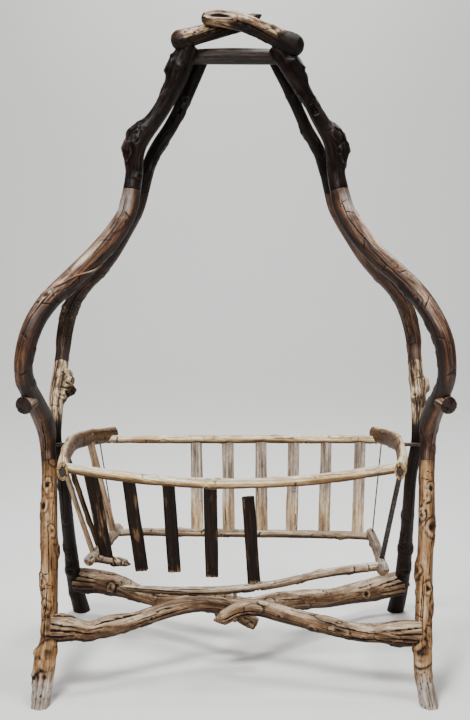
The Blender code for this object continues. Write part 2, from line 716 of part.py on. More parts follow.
# ---------------------------------------------------------------- stretchers
def stretcher_line(frames, side, face, plan, cross_y):
    """A stretcher from its leg to the crossing in the middle and a little past it."""
    leg = frames[side, face]["line"]
    height = STRETCHER_HEIGHT_FRONT if face == FRONT else STRETCHER_HEIGHT_REAR
    root = leg.at(leg.length_at_height(height))
    start = Vector((root.x - side * root.w * 0.62, root.y, root.z + plan["root"],
                    STRETCHER_FLARE))
    collar = start + Vector((-side * STRETCHER_FLARE_LENGTH * 0.45, -face * 0.007, -0.001,
                             (plan["neck"] - STRETCHER_FLARE) * 0.35))
    neck = Vector((start.x - side * STRETCHER_FLARE_LENGTH, start.y - face * 0.016,
                   start.z + plan["dip"], plan["neck"]))
    cross = Vector((0, cross_y, STRETCHER_CROSS_HEIGHT + plan["lift"], STRETCHER_RADIUS))
    reach, drop = plan["tip"]
    tip = Vector((-side * reach, cross_y, cross.z - drop, STRETCHER_RADIUS * 0.84))
    bends = [(share, (0, face * depth, rise, swell))
             for share, depth, rise, swell in plan["bends"]]
    return Centreline([start, collar, *bent(neck, cross, *bends), tip])


# A stretcher's radius and dip at its neck, its lift where all cross, how far its tip goes on and
# drops, and its bends: (share of the way, depth, rise and swelling added there).
STRETCHER_PLANS = {
    (RIGHT, FRONT): {
        "root": -0.005, "neck": 0.0215, "dip": -0.003, "lift": 0.010, "tip": (0.046, 0.024),
        "bends": ((0.12, 0.003, -0.006, -0.0005), (0.30, 0.004, -0.003, -0.001),
                  (0.46, 0.004, 0.004, -0.001), (0.65, 0.003, 0.010, 0.000),
                  (0.78, 0.002, 0.018, 0.000), (0.90, 0.001, 0.018, 0.001)),
    },
    (LEFT, FRONT): {
        "root": 0.004, "neck": 0.0190, "dip": -0.011, "lift": 0.003, "tip": (0.042, 0.040),
        "bends": ((0.13, -0.003, 0.003, 0.004), (0.27, -0.007, 0.004, -0.003),
                  (0.39, -0.011, 0.011, -0.001), (0.53, -0.015, 0.018, 0.000),
                  (0.70, -0.018, 0.021, -0.001), (0.87, -0.015, 0.014, -0.002)),
    },
    (RIGHT, REAR): {
        "root": -0.008, "neck": 0.0300, "dip": -0.010, "lift": -0.008, "tip": (0.050, 0.010),
        "bends": ((0.11, 0.004, -0.004, -0.003), (0.22, 0.005, -0.008, -0.004),
                  (0.33, 0.003, -0.010, -0.003), (0.44, 0.001, -0.003, -0.001),
                  (0.64, -0.008, 0.004, 0.000), (0.75, -0.020, 0.008, 0.000),
                  (0.87, -0.026, 0.005, 0.000)),
    },
    (LEFT, REAR): {
        "root": 0.006, "neck": 0.0310, "dip": -0.002, "lift": -0.012, "tip": (0.034, 0.006),
        "bends": ((0.14, 0.004, -0.009, -0.002), (0.25, 0.004, -0.017, -0.006),
                  (0.39, 0.005, -0.024, -0.006), (0.50, 0.005, -0.021, -0.004),
                  (0.70, 0.003, -0.010, -0.002), (0.87, 0.002, -0.003, 0.000)),
    },
}


def make_stretchers(frames):
    """Four stretchers that cross in the middle on one long peg, each spiked to its leg."""
    order = ((RIGHT, FRONT), (LEFT, FRONT), (RIGHT, REAR), (LEFT, REAR))
    made = []
    for place, (side, face) in enumerate(order):
        cross_y = place * STRETCHER_PITCH - STRETCHER_CROSS_DEPTH
        line = stretcher_line(frames, side, face, STRETCHER_PLANS[side, face], cross_y)
        tag = f"{'front' if face == FRONT else 'rear'}_{SIDE_NAMES[side]}"
        stretcher = make_log(f"{tag}_stretcher", line, "stretcher_wood")
        frame = frames[side, face]
        leg_line = frame["line"]
        root = line.at(0.0)
        sleeve = make_log(f"cope_{tag}", leg_line, "leg_wood",
                          leg_line.length_at_height(max(root.z - 2.2 * root.w, 0.002)),
                          leg_line.length_at_height(root.z + 2.2 * root.w),
                          reference=ALONG_X, grow=COPE_GAP)
        combine(stretcher, as_cutter(sleeve), "DIFFERENCE")
        leg_radius = leg_line.at(leg_line.length_at_height(root.z)).w
        outer = root.x + side * (leg_radius * 1.62 + SPIKE_HEAD_LENGTH * 0.6)
        fit_rod(f"{tag}_stretcher_spike", Vector((outer, root.y, root.z)),
                Vector((root.x - side * 0.036, root.y, root.z)), SPIKE_RADIUS, "iron",
                [frame["leg"], stretcher], head=(SPIKE_HEAD_RADIUS, SPIKE_HEAD_LENGTH))
        made.append(stretcher)
    overhang = STRETCHER_RADIUS + 0.006
    height = STRETCHER_CROSS_HEIGHT
    front = -STRETCHER_CROSS_DEPTH
    fit_rod("stretcher_peg", Vector((0, front - overhang, height)),
            Vector((0, front + 3 * STRETCHER_PITCH + overhang, height)), PEG_RADIUS,
            "peg_wood", made)


# ---------------------------------------------------------------- basket
def end_log_line(side):
    """A basket end: a bent log bowed outwards, its ends cut square front and rear."""
    reach = RIM_DEPTH + RIM_OVERHANG
    drop = (0.010, 0.008, 0.0, 0.002, 0.005, 0.008)
    bow = (0.010, 0.000, 0.0, 0.010, 0.044, 0.088) if side == LEFT else (
        0.028, 0.008, 0.0, 0.003, 0.018, 0.042)
    depths = (-1.0, -0.55, 0.0, 0.38, 0.72, 1.0)
    lean = PIN_HEIGHT - 0.004
    return Centreline([
        Vector((side * (END_LOG_REACH - bow[i]), BASKET_SHIFT + depths[i] * reach,
                lean - drop[i] * 2, END_LOG_HALF_WIDTH))
        for i in range(len(depths))
    ])


def rail_between(name, a, b, radius, material, sag=0.0, bow=0.0, ends=("tenon", "tenon"),
                 tenon=None):
    """A rail from a to b, with a tenon let into each end piece."""
    middle = (a + b) / 2 + Vector((0, -bow, -sag))
    quarter = [a.lerp(b, s) + Vector((0, -bow * 0.75, -sag * 0.75)) for s in (0.25, 0.75)]
    line = Centreline([
        Vector((*a, radius)), Vector((*quarter[0], radius * 1.03)), Vector((*middle, radius)),
        Vector((*quarter[1], radius * 1.02)), Vector((*b, radius)),
    ])
    tenon = tenon or (radius * 0.72, END_LOG_HALF_WIDTH)
    rail = make_log(name, line, material, ends=ends, sides=THIN_SIDES, step=0.06, tenon=tenon)
    return rail, line


def point_at_y(line, y):
    """The centreline's point at that Y."""
    return line.at(line.length_at_y(y)).xyz


def shoulder_reach(line, y, rail_radius):
    """How far from a leaning log's centre, along X, a rail's square shoulder clears it."""
    lean = line.direction(line.length_at_y(y))
    half = line.at(line.length_at_y(y)).w
    return (half + rail_radius * abs(lean.x)) / abs(lean.y) + 0.0015


def make_basket(frames):
    """The whole swinging basket."""
    end_lines = {side: end_log_line(side) for side in (LEFT, RIGHT)}
    flat = (1.0, END_LOG_HALF_HEIGHT / END_LOG_HALF_WIDTH)
    end_logs = {}
    for side, line in end_lines.items():
        end_logs[side] = make_log(f"basket_end_log_{SIDE_NAMES[side]}", line, "rim_wood",
                                  flat=flat, step=0.035)

    floor_lines = {
        LEFT: Centreline([
            Vector((-0.346, FLOOR_FRONT_Y - FLOOR_END_OVERHANG, FLOOR_HEIGHT + 0.008,
                    FLOOR_END_RADIUS * 1.05)),
            Vector((-0.338, -0.050, FLOOR_HEIGHT + 0.002, FLOOR_END_RADIUS)),
            Vector((-0.322, 0.060, FLOOR_HEIGHT - 0.001, FLOOR_END_RADIUS)),
            Vector((-0.311, FLOOR_REAR_Y + FLOOR_END_OVERHANG, FLOOR_HEIGHT - 0.003,
                    FLOOR_END_RADIUS * 1.30)),
        ]),
        RIGHT: Centreline([
            Vector((0.351, FLOOR_FRONT_Y - FLOOR_END_OVERHANG, FLOOR_HEIGHT - 0.014,
                    FLOOR_END_RADIUS * 1.25)),
            Vector((0.356, -0.050, FLOOR_HEIGHT - 0.013, FLOOR_END_RADIUS)),
            Vector((0.358, 0.060, FLOOR_HEIGHT - 0.012, FLOOR_END_RADIUS)),
            Vector((0.358, FLOOR_REAR_Y + FLOOR_END_OVERHANG, FLOOR_HEIGHT - 0.012,
                    FLOOR_END_RADIUS)),
        ]),
    }
    floor_ends = {
        side: make_log(f"floor_end_rail_{SIDE_NAMES[side]}", line, "floor_wood",
                       ends=("round", "round"), sides=THIN_SIDES, step=0.05)
        for side, line in floor_lines.items()
    }

    rims = {}
    for face, y, radius, drop, sag, bow, name in (
        (FRONT, RIM_FRONT_Y, FRONT_RIM_RADIUS, 0.0, FRONT_RIM_SAG, FRONT_RIM_BOW,
         "front_top_rail"),
        (REAR, RIM_REAR_Y, REAR_RIM_RADIUS, REAR_RIM_DROP, 0.0, 0.0, "rear_top_rail"),
    ):
        thickness = radius * RAIL_TENON_SHARE
        hold = max(shoulder_reach(end_lines[side], y, radius) for side in (LEFT, RIGHT))
        ends = []
        for side in (LEFT, RIGHT):
            at = point_at_y(end_lines[side], y)
            ends.append(Vector((at.x - side * hold, y, at.z - drop)))
        rail, line = rail_between(name, ends[0], ends[1], radius, "rim_wood", sag, bow,
                                  tenon=(thickness, hold))
        for side, end, inner in ((LEFT, 0.0, -1), (RIGHT, line.length, 1)):
            rail_socket(end_logs[side], f"socket_{name}_{SIDE_NAMES[side]}",
                        line.at(end).xyz, line.direction(end) * inner, thickness, hold)
        rims[face] = (rail, line)

    floor_rails = make_floor_rails(floor_lines, floor_ends)
    make_slats(rims, floor_rails)
    make_corners(end_lines, end_logs, floor_lines, floor_ends)
    make_pivots(frames, end_logs)
    make_corner_bolts(end_lines, end_logs, rims)


def rail_socket(target, name, tip, along, radius, reach):
    """A blind hole in the target for a rail's tenon that starts at the tip."""
    bore([target], name, tip - along * 0.015, tip + along * (reach + FIT_GAP), radius + FIT_GAP)


def make_floor_rails(floor_lines, floor_ends):
    """The rear floor rail, the broken front one that droops, and the stub it broke from."""
    hold = FLOOR_END_RADIUS * 0.80
    radius = FLOOR_RAIL_RADIUS
    thickness = radius * RAIL_TENON_SHARE
    rails = {}
    ends = []
    for side in (LEFT, RIGHT):
        at = floor_lines[side].at(floor_lines[side].length_at_y(FLOOR_REAR_Y))
        ends.append(Vector((at.x - side * (at.w + 0.003), FLOOR_REAR_Y, at.z)))
    rail, line = rail_between("rear_floor_rail", ends[0], ends[1], radius, "floor_wood",
                              tenon=(thickness, hold))
    rails[REAR] = (rail, line)
    for side, end, inner in ((LEFT, 0.0, -1), (RIGHT, line.length, 1)):
        rail_socket(floor_ends[side], f"socket_rear_floor_{SIDE_NAMES[side]}",
                    line.at(end).xyz, line.direction(end) * inner, thickness, hold)

    y = FLOOR_FRONT_Y
    at = floor_lines[RIGHT].at(floor_lines[RIGHT].length_at_y(y))
    root = Vector((at.x - at.w - 0.003, y, at.z, radius))
    shape = ((0.18, 0.25), (0.31, 0.52), (0.37, 0.70), (0.43, 0.79), (0.54, 0.93), (0.63, 1.00),
             (0.75, 1.00), (0.88, 0.96))
    knots = [root]
    for share, fall in shape:
        knots.append(Vector((root.x - share * DROOP_REACH, y, root.z - fall * DROOP,
                             radius * (1.0 - 0.12 * share))))
    knots.append(Vector((root.x - DROOP_REACH, y, root.z - 0.84 * DROOP, radius * 0.55)))
    line = Centreline(knots)
    tenon = (thickness, hold)
    rail = make_log("broken_floor_rail", line, "floor_wood", ends=("tenon", "cut"),
                    sides=THIN_SIDES, step=0.045, tenon=tenon)
    rail_socket(floor_ends[RIGHT], "socket_broken_rail", line.at(0.0).xyz,
                line.direction(0.0) * -1, thickness, hold)
    rails["broken"] = (rail, line)

    at = floor_lines[LEFT].at(floor_lines[LEFT].length_at_y(y))
    root = Vector((at.x + at.w + 0.003, y, at.z, radius))
    line = Centreline([
        root,
        root + Vector((STUB_REACH * 0.55, 0, -0.007, 0)),
        root + Vector((STUB_REACH, 0, -0.015, -radius * 0.35)),
    ])
    rail = make_log("floor_rail_stub", line, "floor_wood", ends=("tenon", "cut"),
                    sides=THIN_SIDES, step=0.05, tenon=tenon)
    rail_socket(floor_ends[LEFT], "socket_rail_stub", line.at(0.0).xyz,
                line.direction(0.0) * -1, thickness, hold)
    rails["stub"] = (rail, line)
    return rails


def on_rail(line, x, towards):
    """The shoulder of a slat on a rail at that X, clear of the rail however it slopes."""
    length = line.length_at_x(x)
    centre = line.at(length)
    aim = (towards - centre.xyz).normalized()
    slope = abs(aim.dot(line.direction(length)))
    rise = SLAT_WIDTH / 2 * slope / math.sqrt(1 - slope * slope)
    return centre.xyz + aim * (centre.w + rise + 2 * FIT_GAP)


# (name, X at the top, X at the bottom): bottoms that hang free give their height too
REAR_SLATS = ((-0.104, -0.099), (-0.019, -0.016), (0.069, 0.070), (0.157, 0.149),
              (0.245, 0.232), (0.336, 0.321))
FRONT_SLATS = ((-0.341, -0.306, None), (-0.252, -0.224, 0.245), (-0.157, -0.145, 0.241),
               (-0.058, -0.055, 0.228))
EMPTY_FRONT = (0.035, 0.128, 0.222, 0.311)
EMPTY_REAR = (-0.192, -0.275)
LOOSE_SLAT = (0.030, 0.045, 0.428)


def make_slats(rims, floor_rails):
    """The slats of both sides, their mortises, and the mortises that have lost their slats."""
    front_rim, front_line = rims[FRONT]
    rear_rim, rear_line = rims[REAR]
    floor_rail, floor_line = floor_rails[REAR]
    for number, (top_x, bottom_x) in enumerate(REAR_SLATS, 1):
        slat_between(f"rear_slat_{number}", rear_rim, rear_line, top_x, floor_rail, floor_line,
                     bottom_x)
    for number, x in enumerate(EMPTY_REAR, 1):
        low = floor_line.at(floor_line.length_at_x(x)).xyz
        shoulder = on_rail(rear_line, x, low)
        along = (rear_line.at(rear_line.length_at_x(x)).xyz - low).normalized()
        mortise(rear_rim, f"empty_rear_top_{number}", shoulder, along)
        mortise(floor_rail, f"empty_rear_floor_{number}", on_rail(floor_line, x, shoulder), -along)

    stub_rail, stub_line = floor_rails["stub"]
    slope = (RIM_FRONT_Y - FLOOR_FRONT_Y) / (RIM_HEIGHT - FLOOR_HEIGHT)
    for number, (top_x, bottom_x, free_height) in enumerate(FRONT_SLATS, 1):
        name = f"front_slat_{number}"
        if free_height is None:
            slat_between(name, front_rim, front_line, top_x, stub_rail, stub_line, bottom_x,
                         "dark_slat_wood")
            continue
        bottom_y = RIM_FRONT_Y - slope * (RIM_HEIGHT - free_height)
        bottom = Vector((bottom_x, bottom_y, free_height))
        shoulder = on_rail(front_line, top_x, bottom)
        make_board(name, shoulder, bottom, "dark_slat_wood", tenons=(True, False))
        mortise(front_rim, f"mortise_{name}", shoulder, (shoulder - bottom).normalized())
    for number, x in enumerate(EMPTY_FRONT, 1):
        aim = Vector((x * 0.95, FLOOR_FRONT_Y, FLOOR_HEIGHT))
        shoulder = on_rail(front_line, x, aim)
        mortise(front_rim, f"empty_front_{number}", shoulder, (shoulder - aim).normalized())

    broken_rail, broken_line = floor_rails["broken"]
    top_x, bottom_x, top_height = LOOSE_SLAT
    stand = broken_line.at(broken_line.length_at_x(bottom_x))
    foot = Vector((bottom_x, stand.y, stand.z + stand.w + SLAT_THICKNESS * 0.18))
    top_y = RIM_FRONT_Y - slope * (RIM_HEIGHT - top_height)
    make_board("loose_slat", Vector((top_x, top_y, top_height)), foot, "dark_slat_wood",
               tenons=(False, False))


def slat_between(name, top_rail, top_line, top_x, low_rail, low_line, low_x,
                 material="pale_slat_wood"):
    """A slat let into a rail at each end."""
    high = top_line.at(top_line.length_at_x(top_x)).xyz
    low = low_line.at(low_line.length_at_x(low_x)).xyz
    top = on_rail(top_line, top_x, low)
    bottom = on_rail(low_line, low_x, high)
    make_board(name, top, bottom, material)
    along = (top - bottom).normalized()
    mortise(top_rail, f"mortise_top_{name}", top, along)
    mortise(low_rail, f"mortise_low_{name}", bottom, -along)


def make_corners(end_lines, end_logs, floor_lines, floor_ends):
    """The posts, rod and wires that carry the floor frame at its corners, and the end slats."""
    corner = RIM_DEPTH - CORNER_SET_IN
    plans = (
        ("corner_post", LEFT, -corner, -0.110, POST_RADIUS, "pale_slat_wood"),
        ("end_post", LEFT, -0.070, -0.052, POST_RADIUS, "dark_slat_wood"),
        ("rear_corner_post", LEFT, RIM_DEPTH - REAR_POST_SET_IN, 0.092, REAR_POST_RADIUS,
         "pale_slat_wood"),
        ("corner_rod", RIGHT, -corner, -0.110, ROD_RADIUS, "iron"),
        ("tie_wire_left", LEFT, RIM_DEPTH - TIE_SET_IN, 0.110, WIRE_RADIUS, "iron"),
        ("tie_wire_right", RIGHT, RIM_DEPTH - TIE_SET_IN, 0.108, WIRE_RADIUS, "iron"),
    )
    for name, side, top_y, low_y, radius, material in plans:
        high = point_at_y(end_lines[side], top_y + BASKET_SHIFT)
        low = point_at_y(floor_lines[side], low_y + BASKET_SHIFT)
        along = (low - high).normalized()
        floor_radius = floor_lines[side].at(floor_lines[side].length_at_y(low_y)).w
        top = high + along * (END_LOG_HALF_HEIGHT - CORNER_HOLE_DEPTH)
        bottom = low - along * max(floor_radius - CORNER_HOLE_DEPTH, 0.0) * 0.9
        fit_rod(name, top, bottom, radius, material, [end_logs[side], floor_ends[side]])


def make_pivots(frames, end_logs):
    """The two iron pins, fixed in the rear legs and running in the basket's end logs."""
    for side in (LEFT, RIGHT):
        leg_line = frames[side, REAR]["line"]
        waist = leg_line.at(leg_line.length_at_height(PIN_HEIGHT))
        outer = Vector((waist.x + side * (PIN_HOLD - waist.w), 0, PIN_HEIGHT))
        inner = Vector((side * (END_LOG_REACH - PIN_REACH), 0, PIN_HEIGHT))
        name = f"pivot_pin_{SIDE_NAMES[side]}"
        fit_rod(name, outer, inner, PIN_RADIUS, "iron", [frames[side, REAR]["leg"]])
        bore([end_logs[side]], f"run_{name}", outer, inner - ALONG_X * side * FIT_GAP,
             PIN_RADIUS + PIN_RUNNING_GAP, LOG_SIDES)


def make_corner_bolts(end_lines, end_logs, rims):
    """A bolt into each front end of the end logs, through the tenon of the front top rail."""
    rail = rims[FRONT][0]
    for side in (LEFT, RIGHT):
        line = end_lines[side]
        tip = line.at(0.0)
        along = line.direction(0.0)
        start = tip.xyz - along * (BOLT_HEAD_LENGTH - 0.001 + FIT_GAP)
        end = tip.xyz + along * (RIM_OVERHANG + 0.014)
        fit_rod(f"corner_bolt_{SIDE_NAMES[side]}", start, end, BOLT_RADIUS, "iron",
                [end_logs[side], rail],
                head=(BOLT_HEAD_RADIUS, BOLT_HEAD_LENGTH - 0.001))


# ---------------------------------------------------------------- assembly
def clear_scene():
    """Removes whatever the scene held."""
    for thing in list(bpy.data.objects):
        bpy.data.objects.remove(thing, do_unlink=True)


def hang_basket_pieces(before):
    """Parents the basket's pieces to an empty on the swing axis."""
    pivot = bpy.data.objects.new("basket_swing_axis", None)
    pivot.location = (0, 0, PIN_HEIGHT)
    bpy.context.scene.collection.objects.link(pivot)
    bpy.context.view_layer.update()
    fixed = {"pivot_pin_left", "pivot_pin_right"}
    for thing in bpy.data.objects:
        if thing is pivot or thing.name in before or thing.hide_render or thing.name in fixed:
            continue
        thing.parent = pivot
        thing.matrix_parent_inverse = pivot.matrix_world.inverted()


def main():
    clear_scene()
    frames = {}
    for face in (FRONT, REAR):
        for side in (LEFT, RIGHT):
            frames[side, face] = make_side(side, face)
    for side in (LEFT, RIGHT):
        add_branch_stub(frames[side, FRONT], side)
        make_waist(frames, side)
    make_crown(frames)
    make_stretchers(frames)
    frame_names = {thing.name for thing in bpy.data.objects}
    make_basket(frames)
    hang_basket_pieces(frame_names)


main()
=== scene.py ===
"""The looks of a swinging cradle made of crooked natural logs.

Every log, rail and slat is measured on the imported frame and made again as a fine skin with
lobes, knots, checks, worn ends and end grain. The ironwork is turned again with domed heads.
Units are metres, +Z is up and the cradle's front faces -Y.
"""

import json
import math

import bmesh
import bpy
import numpy as np
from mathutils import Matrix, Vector
from mathutils.bvhtree import BVHTree


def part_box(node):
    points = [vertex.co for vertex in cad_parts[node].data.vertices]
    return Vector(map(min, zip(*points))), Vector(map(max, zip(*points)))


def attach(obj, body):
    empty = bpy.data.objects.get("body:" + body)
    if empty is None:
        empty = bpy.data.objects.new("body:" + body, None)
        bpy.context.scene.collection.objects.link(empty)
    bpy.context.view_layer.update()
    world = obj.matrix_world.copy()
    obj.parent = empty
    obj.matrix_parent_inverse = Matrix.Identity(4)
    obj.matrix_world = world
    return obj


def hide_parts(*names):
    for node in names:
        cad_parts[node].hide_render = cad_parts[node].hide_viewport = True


bl_info = {
    "name": "Log Cradle",
    "version": (1, 0, 0),
    "blender": (4, 5, 0),
    "location": "View3D > Sidebar > Cradle",
    "description": "Makes a swinging cradle of crooked logs round its measured frame",
    "category": "Object",
}

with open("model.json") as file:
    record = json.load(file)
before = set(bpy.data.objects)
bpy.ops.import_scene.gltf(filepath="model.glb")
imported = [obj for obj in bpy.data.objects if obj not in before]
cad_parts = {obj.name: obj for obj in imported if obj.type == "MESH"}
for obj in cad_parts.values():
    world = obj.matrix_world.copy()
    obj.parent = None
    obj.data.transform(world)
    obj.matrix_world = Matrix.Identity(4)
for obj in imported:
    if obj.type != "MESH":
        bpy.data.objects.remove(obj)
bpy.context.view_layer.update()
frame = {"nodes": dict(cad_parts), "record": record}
BODY_OF = {
    node: body
    for body, nodes in frame["record"]["behaviour"]["bodies"].items()
    for node in nodes
}
TURN = 2 * math.pi
X, Y, Z = 0, 1, 2
SIDES = ("left", "right")
FRONTWARD, UPWARD = (0, -1, 0), (0, 0, 1)
MERGE = 1e-6             # points nearer than this are one point of a CAD node
SEAM_MERGE = 1e-7        # and of a skin, whose points stand much closer


# ---------------------------------------------------------------- noise
def lattice(corner, seed):
    """A fixed pseudo-random number from 0 to 1 at each whole-number corner."""
    key = corner[..., 0] * 73856093 ^ corner[..., 1] * 19349663 ^ corner[..., 2] * 83492791
    key = (key ^ (seed + 11) * 2654435761) & 0xFFFFFFFF
    key = ((key ^ key >> 13) * 1274126177) & 0xFFFFFFFF
    return ((key ^ key >> 16) & 0xFFFF) / 65535.0


def noise(places, seed):
    """Smooth noise from -1 to 1 at each place."""
    low = np.floor(places).astype(np.int64)
    part = places - low
    part = part * part * (3 - 2 * part)
    total = 0.0
    for dx in (0, 1):
        for dy in (0, 1):
            for dz in (0, 1):
                weight = (
                    (part[..., 0] if dx else 1 - part[..., 0])
                    * (part[..., 1] if dy else 1 - part[..., 1])
                    * (part[..., 2] if dz else 1 - part[..., 2])
                )
                total = total + weight * lattice(low + (dx, dy, dz), seed)
    return 2 * total - 1


def layered(places, layers, seed):
    """Noise with finer and weaker layers added, from about -1 to 1."""
    total, weight = 0.0, 1.0
    for layer in range(layers):
        total = total + weight * noise(places * 2.03**layer, seed + 17 * layer)
        weight *= 0.5
    return total / (2 - 2 * weight)


def soft_step(low, high, value):
    share = np.clip((value - low) / (high - low), 0, 1)
    return share * share * (3 - 2 * share)


def turned_from(angle, centre):
    """The angle past the centre, from minus to plus half a turn."""
    return (angle - centre + math.pi) % TURN - math.pi


# ---------------------------------------------------------------- measuring the frame
class Measured:
    """A CAD node's surface, which can be cut across to find its middle and its thickness."""

    def __init__(self, node):
        shape = bmesh.new()
        shape.from_mesh(frame["nodes"][node].data)
        bmesh.ops.remove_doubles(shape, verts=shape.verts, dist=MERGE)
        self.tree = BVHTree.FromBMesh(shape)
        self.edges = np.array([[tuple(v.co) for v in edge.verts] for edge in shape.edges])
        shape.free()

    def section(self, axis, level, reach=0.1):
        """The middle and the area of the cut at that level, or None where it misses."""
        rays = 28
        first, last = self.edges[:, 0], self.edges[:, 1]
        above, below = first[:, axis] - level, last[:, axis] - level
        crossing = above * below < 0
        if crossing.sum() < 4:
            return None
        share = (above / (above - below + 1e-12))[crossing][:, None]
        cut = first[crossing] + (last - first)[crossing] * share
        middle = (cut.min(axis=0) + cut.max(axis=0)) / 2
        u, v = [i for i in range(3) if i != axis]
        for _ in range(2):
            outline = []
            for k in range(rays):
                way = np.zeros(3)
                way[u], way[v] = math.cos(TURN * k / rays), math.sin(TURN * k / rays)
                hit = self.tree.ray_cast(Vector(middle + way * reach), Vector(-way), reach)[0]
                if hit is not None:
                    outline.append((hit[u], hit[v]))
            if len(outline) < rays * 0.7:
                return None
            here = np.array(outline)
            after = np.roll(here, -1, axis=0)
            cross = here[:, 0] * after[:, 1] - after[:, 0] * here[:, 1]
            area = cross.sum() / 2
            mean = ((here + after) * cross[:, None]).sum(axis=0) / (6 * area)
            middle[u], middle[v] = mean
        return middle, abs(area)


class Path:
    """A log's smooth centreline and radius, read by the length from its start."""

    def __init__(self, points, radii, blur=0.010, step=0.003):
        points, radii = np.array(points), np.array(radii)
        lengths = running_length(points)
        count = max(8, int(lengths[-1] / step))
        even = np.linspace(0, lengths[-1], count)
        points = np.stack([np.interp(even, lengths, points[:, i]) for i in range(3)], axis=1)
        radii = np.interp(even, lengths, radii)
        spread = blur * count / lengths[-1]
        pad = int(3 * spread) + 1
        kernel = np.exp(-0.5 * (np.arange(-pad, pad + 1) / spread) ** 2)
        kernel /= kernel.sum()
        columns = [smoothed(points[:, i], kernel, pad) for i in range(3)]
        self.points = np.stack(columns, axis=1)
        self.radii = smoothed(radii, kernel, pad)
        self.lengths = running_length(self.points)
        self.length = self.lengths[-1]
        ways = np.gradient(self.points, axis=0)
        self.ways = ways / np.linalg.norm(ways, axis=1)[:, None]

    def read(self, lengths):
        """Points, directions and radii at those lengths, going straight on past the ends."""
        inside = np.clip(lengths, 0, self.length)
        points = np.stack(
            [np.interp(inside, self.lengths, self.points[:, i]) for i in range(3)], axis=-1)
        ways = np.stack(
            [np.interp(inside, self.lengths, self.ways[:, i]) for i in range(3)], axis=-1)
        ways /= np.linalg.norm(ways, axis=-1)[..., None]
        points = points + ways * (lengths - inside)[..., None]
        return points, ways, np.interp(inside, self.lengths, self.radii)

    def length_at(self, axis, level):
        """The length at which the path reaches that level along the axis."""
        values = self.points[:, axis]
        if values[-1] < values[0]:
            return float(np.interp(-level, -values, self.lengths))
        return float(np.interp(level, values, self.lengths))


def running_length(points):
    steps = np.linalg.norm(np.diff(points, axis=0), axis=1)
    return np.concatenate([[0.0], np.cumsum(steps)])


def smoothed(values, kernel, pad):
    """The values smoothed, with each end kept in place."""
    pad = min(pad, len(values) - 1)
    kernel = kernel[len(kernel) // 2 - pad : len(kernel) // 2 + pad + 1]
    kernel = kernel / kernel.sum()
    before = 2 * values[0] - values[pad:0:-1]
    after = 2 * values[-1] - values[-2 : -pad - 2 : -1]
    return np.convolve(np.concatenate([before, values, after]), kernel, "valid")


def measure_path(nodes, axis, span, ends, skip=(), pitch=0.012, blur=0.010, flip=False):
    """The path through the nodes' sections over the span, drawn out straight to the ends."""
    surfaces = [Measured(node) for node in nodes]
    middles, areas = [], []
    for level in np.arange(span[0], span[1] + 1e-9, pitch):
        if any(low < level < high for low, high in skip):
            continue
        for surface in surfaces:
            found = surface.section(axis, level)
            if found:
                middles.append(found[0])
                areas.append(found[1])
                break
    middles, areas = np.array(middles), np.array(areas)
    ways = np.gradient(middles, axis=0)
    slant = np.abs(ways[:, axis]) / np.linalg.norm(ways, axis=1)
    radii = np.sqrt(areas * slant / math.pi)
    for place, level in ((0, ends[0]), (-1, ends[1])):
        back = 2 if place == 0 else -3
        way = middles[place] - middles[back]
        reach = (level - middles[place][axis]) / way[axis]
        far = middles[place] + way * reach
        if reach > 0:
            index = 0 if place == 0 else len(middles)
            middles = np.insert(middles, index, far, axis=0)
            radii = np.insert(radii, index, radii[place], axis=0)
    if flip:
        middles, radii = middles[::-1], radii[::-1]
    return Path(middles, radii, blur)


# ---------------------------------------------------------------- skins
def grid_mesh(name, rings, sides):
    """A flat grid of rings by sides, whose UV runs along the rings and round them."""
    shape = bmesh.new()
    shape.loops.layers.uv.new("along_and_round")
    bmesh.ops.create_grid(shape, x_segments=rings - 1, y_segments=sides, size=1.0,
                          calc_uvs=True)
    mesh = bpy.data.meshes.new(name)
    shape.to_mesh(mesh)
    shape.free()
    flat = np.empty(len(mesh.vertices) * 3)
    mesh.vertices.foreach_get("co", flat)
    flat = flat.reshape(-1, 3)
    ring = np.rint((flat[:, 0] + 1) / 2 * (rings - 1)).astype(int)
    side = np.rint((flat[:, 1] + 1) / 2 * sides).astype(int)
    return mesh, ring, side


def finish_mesh(mesh, standing=False):
    """Sews a wrapped grid along its seam, closes its ends and turns its faces outwards."""
    shape = bmesh.new()
    shape.from_mesh(mesh)
    bmesh.ops.remove_doubles(shape, verts=shape.verts, dist=SEAM_MERGE)
    if standing:
        everything = shape.verts[:] + shape.edges[:] + shape.faces[:]
        bmesh.ops.bisect_plane(shape, geom=everything, plane_co=(0, 0, 0), plane_no=UPWARD,
                               clear_inner=True)
    rims = [edge for edge in shape.edges if edge.is_boundary]
    bmesh.ops.holes_fill(shape, edges=rims)
    bmesh.ops.recalc_face_normals(shape, faces=shape.faces)
    shape.to_mesh(mesh)
    shape.free()
    mesh.shade_smooth()


def paint(mesh, name, values):
    """Stores one number for each point of the mesh."""
    layer = mesh.attributes.new(name, "FLOAT", "POINT")
    layer.data.foreach_set("value", np.ascontiguousarray(values, dtype=np.float32))


def add_object(name, data):
    """Puts a mesh, a lamp or a camera in the scene."""
    added = bpy.data.objects.new(name, data)
    bpy.context.scene.collection.objects.link(added)
    return added


def add_piece(name, mesh, material, nodes, body=None):
    """Puts a finished mesh in the scene as a piece that stands for those CAD nodes."""
    piece = add_object(name, mesh)
    mesh.materials.append(material)
    if nodes:
        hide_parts(*nodes)
    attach(piece, body or BODY_OF[nodes[0]])
    return piece


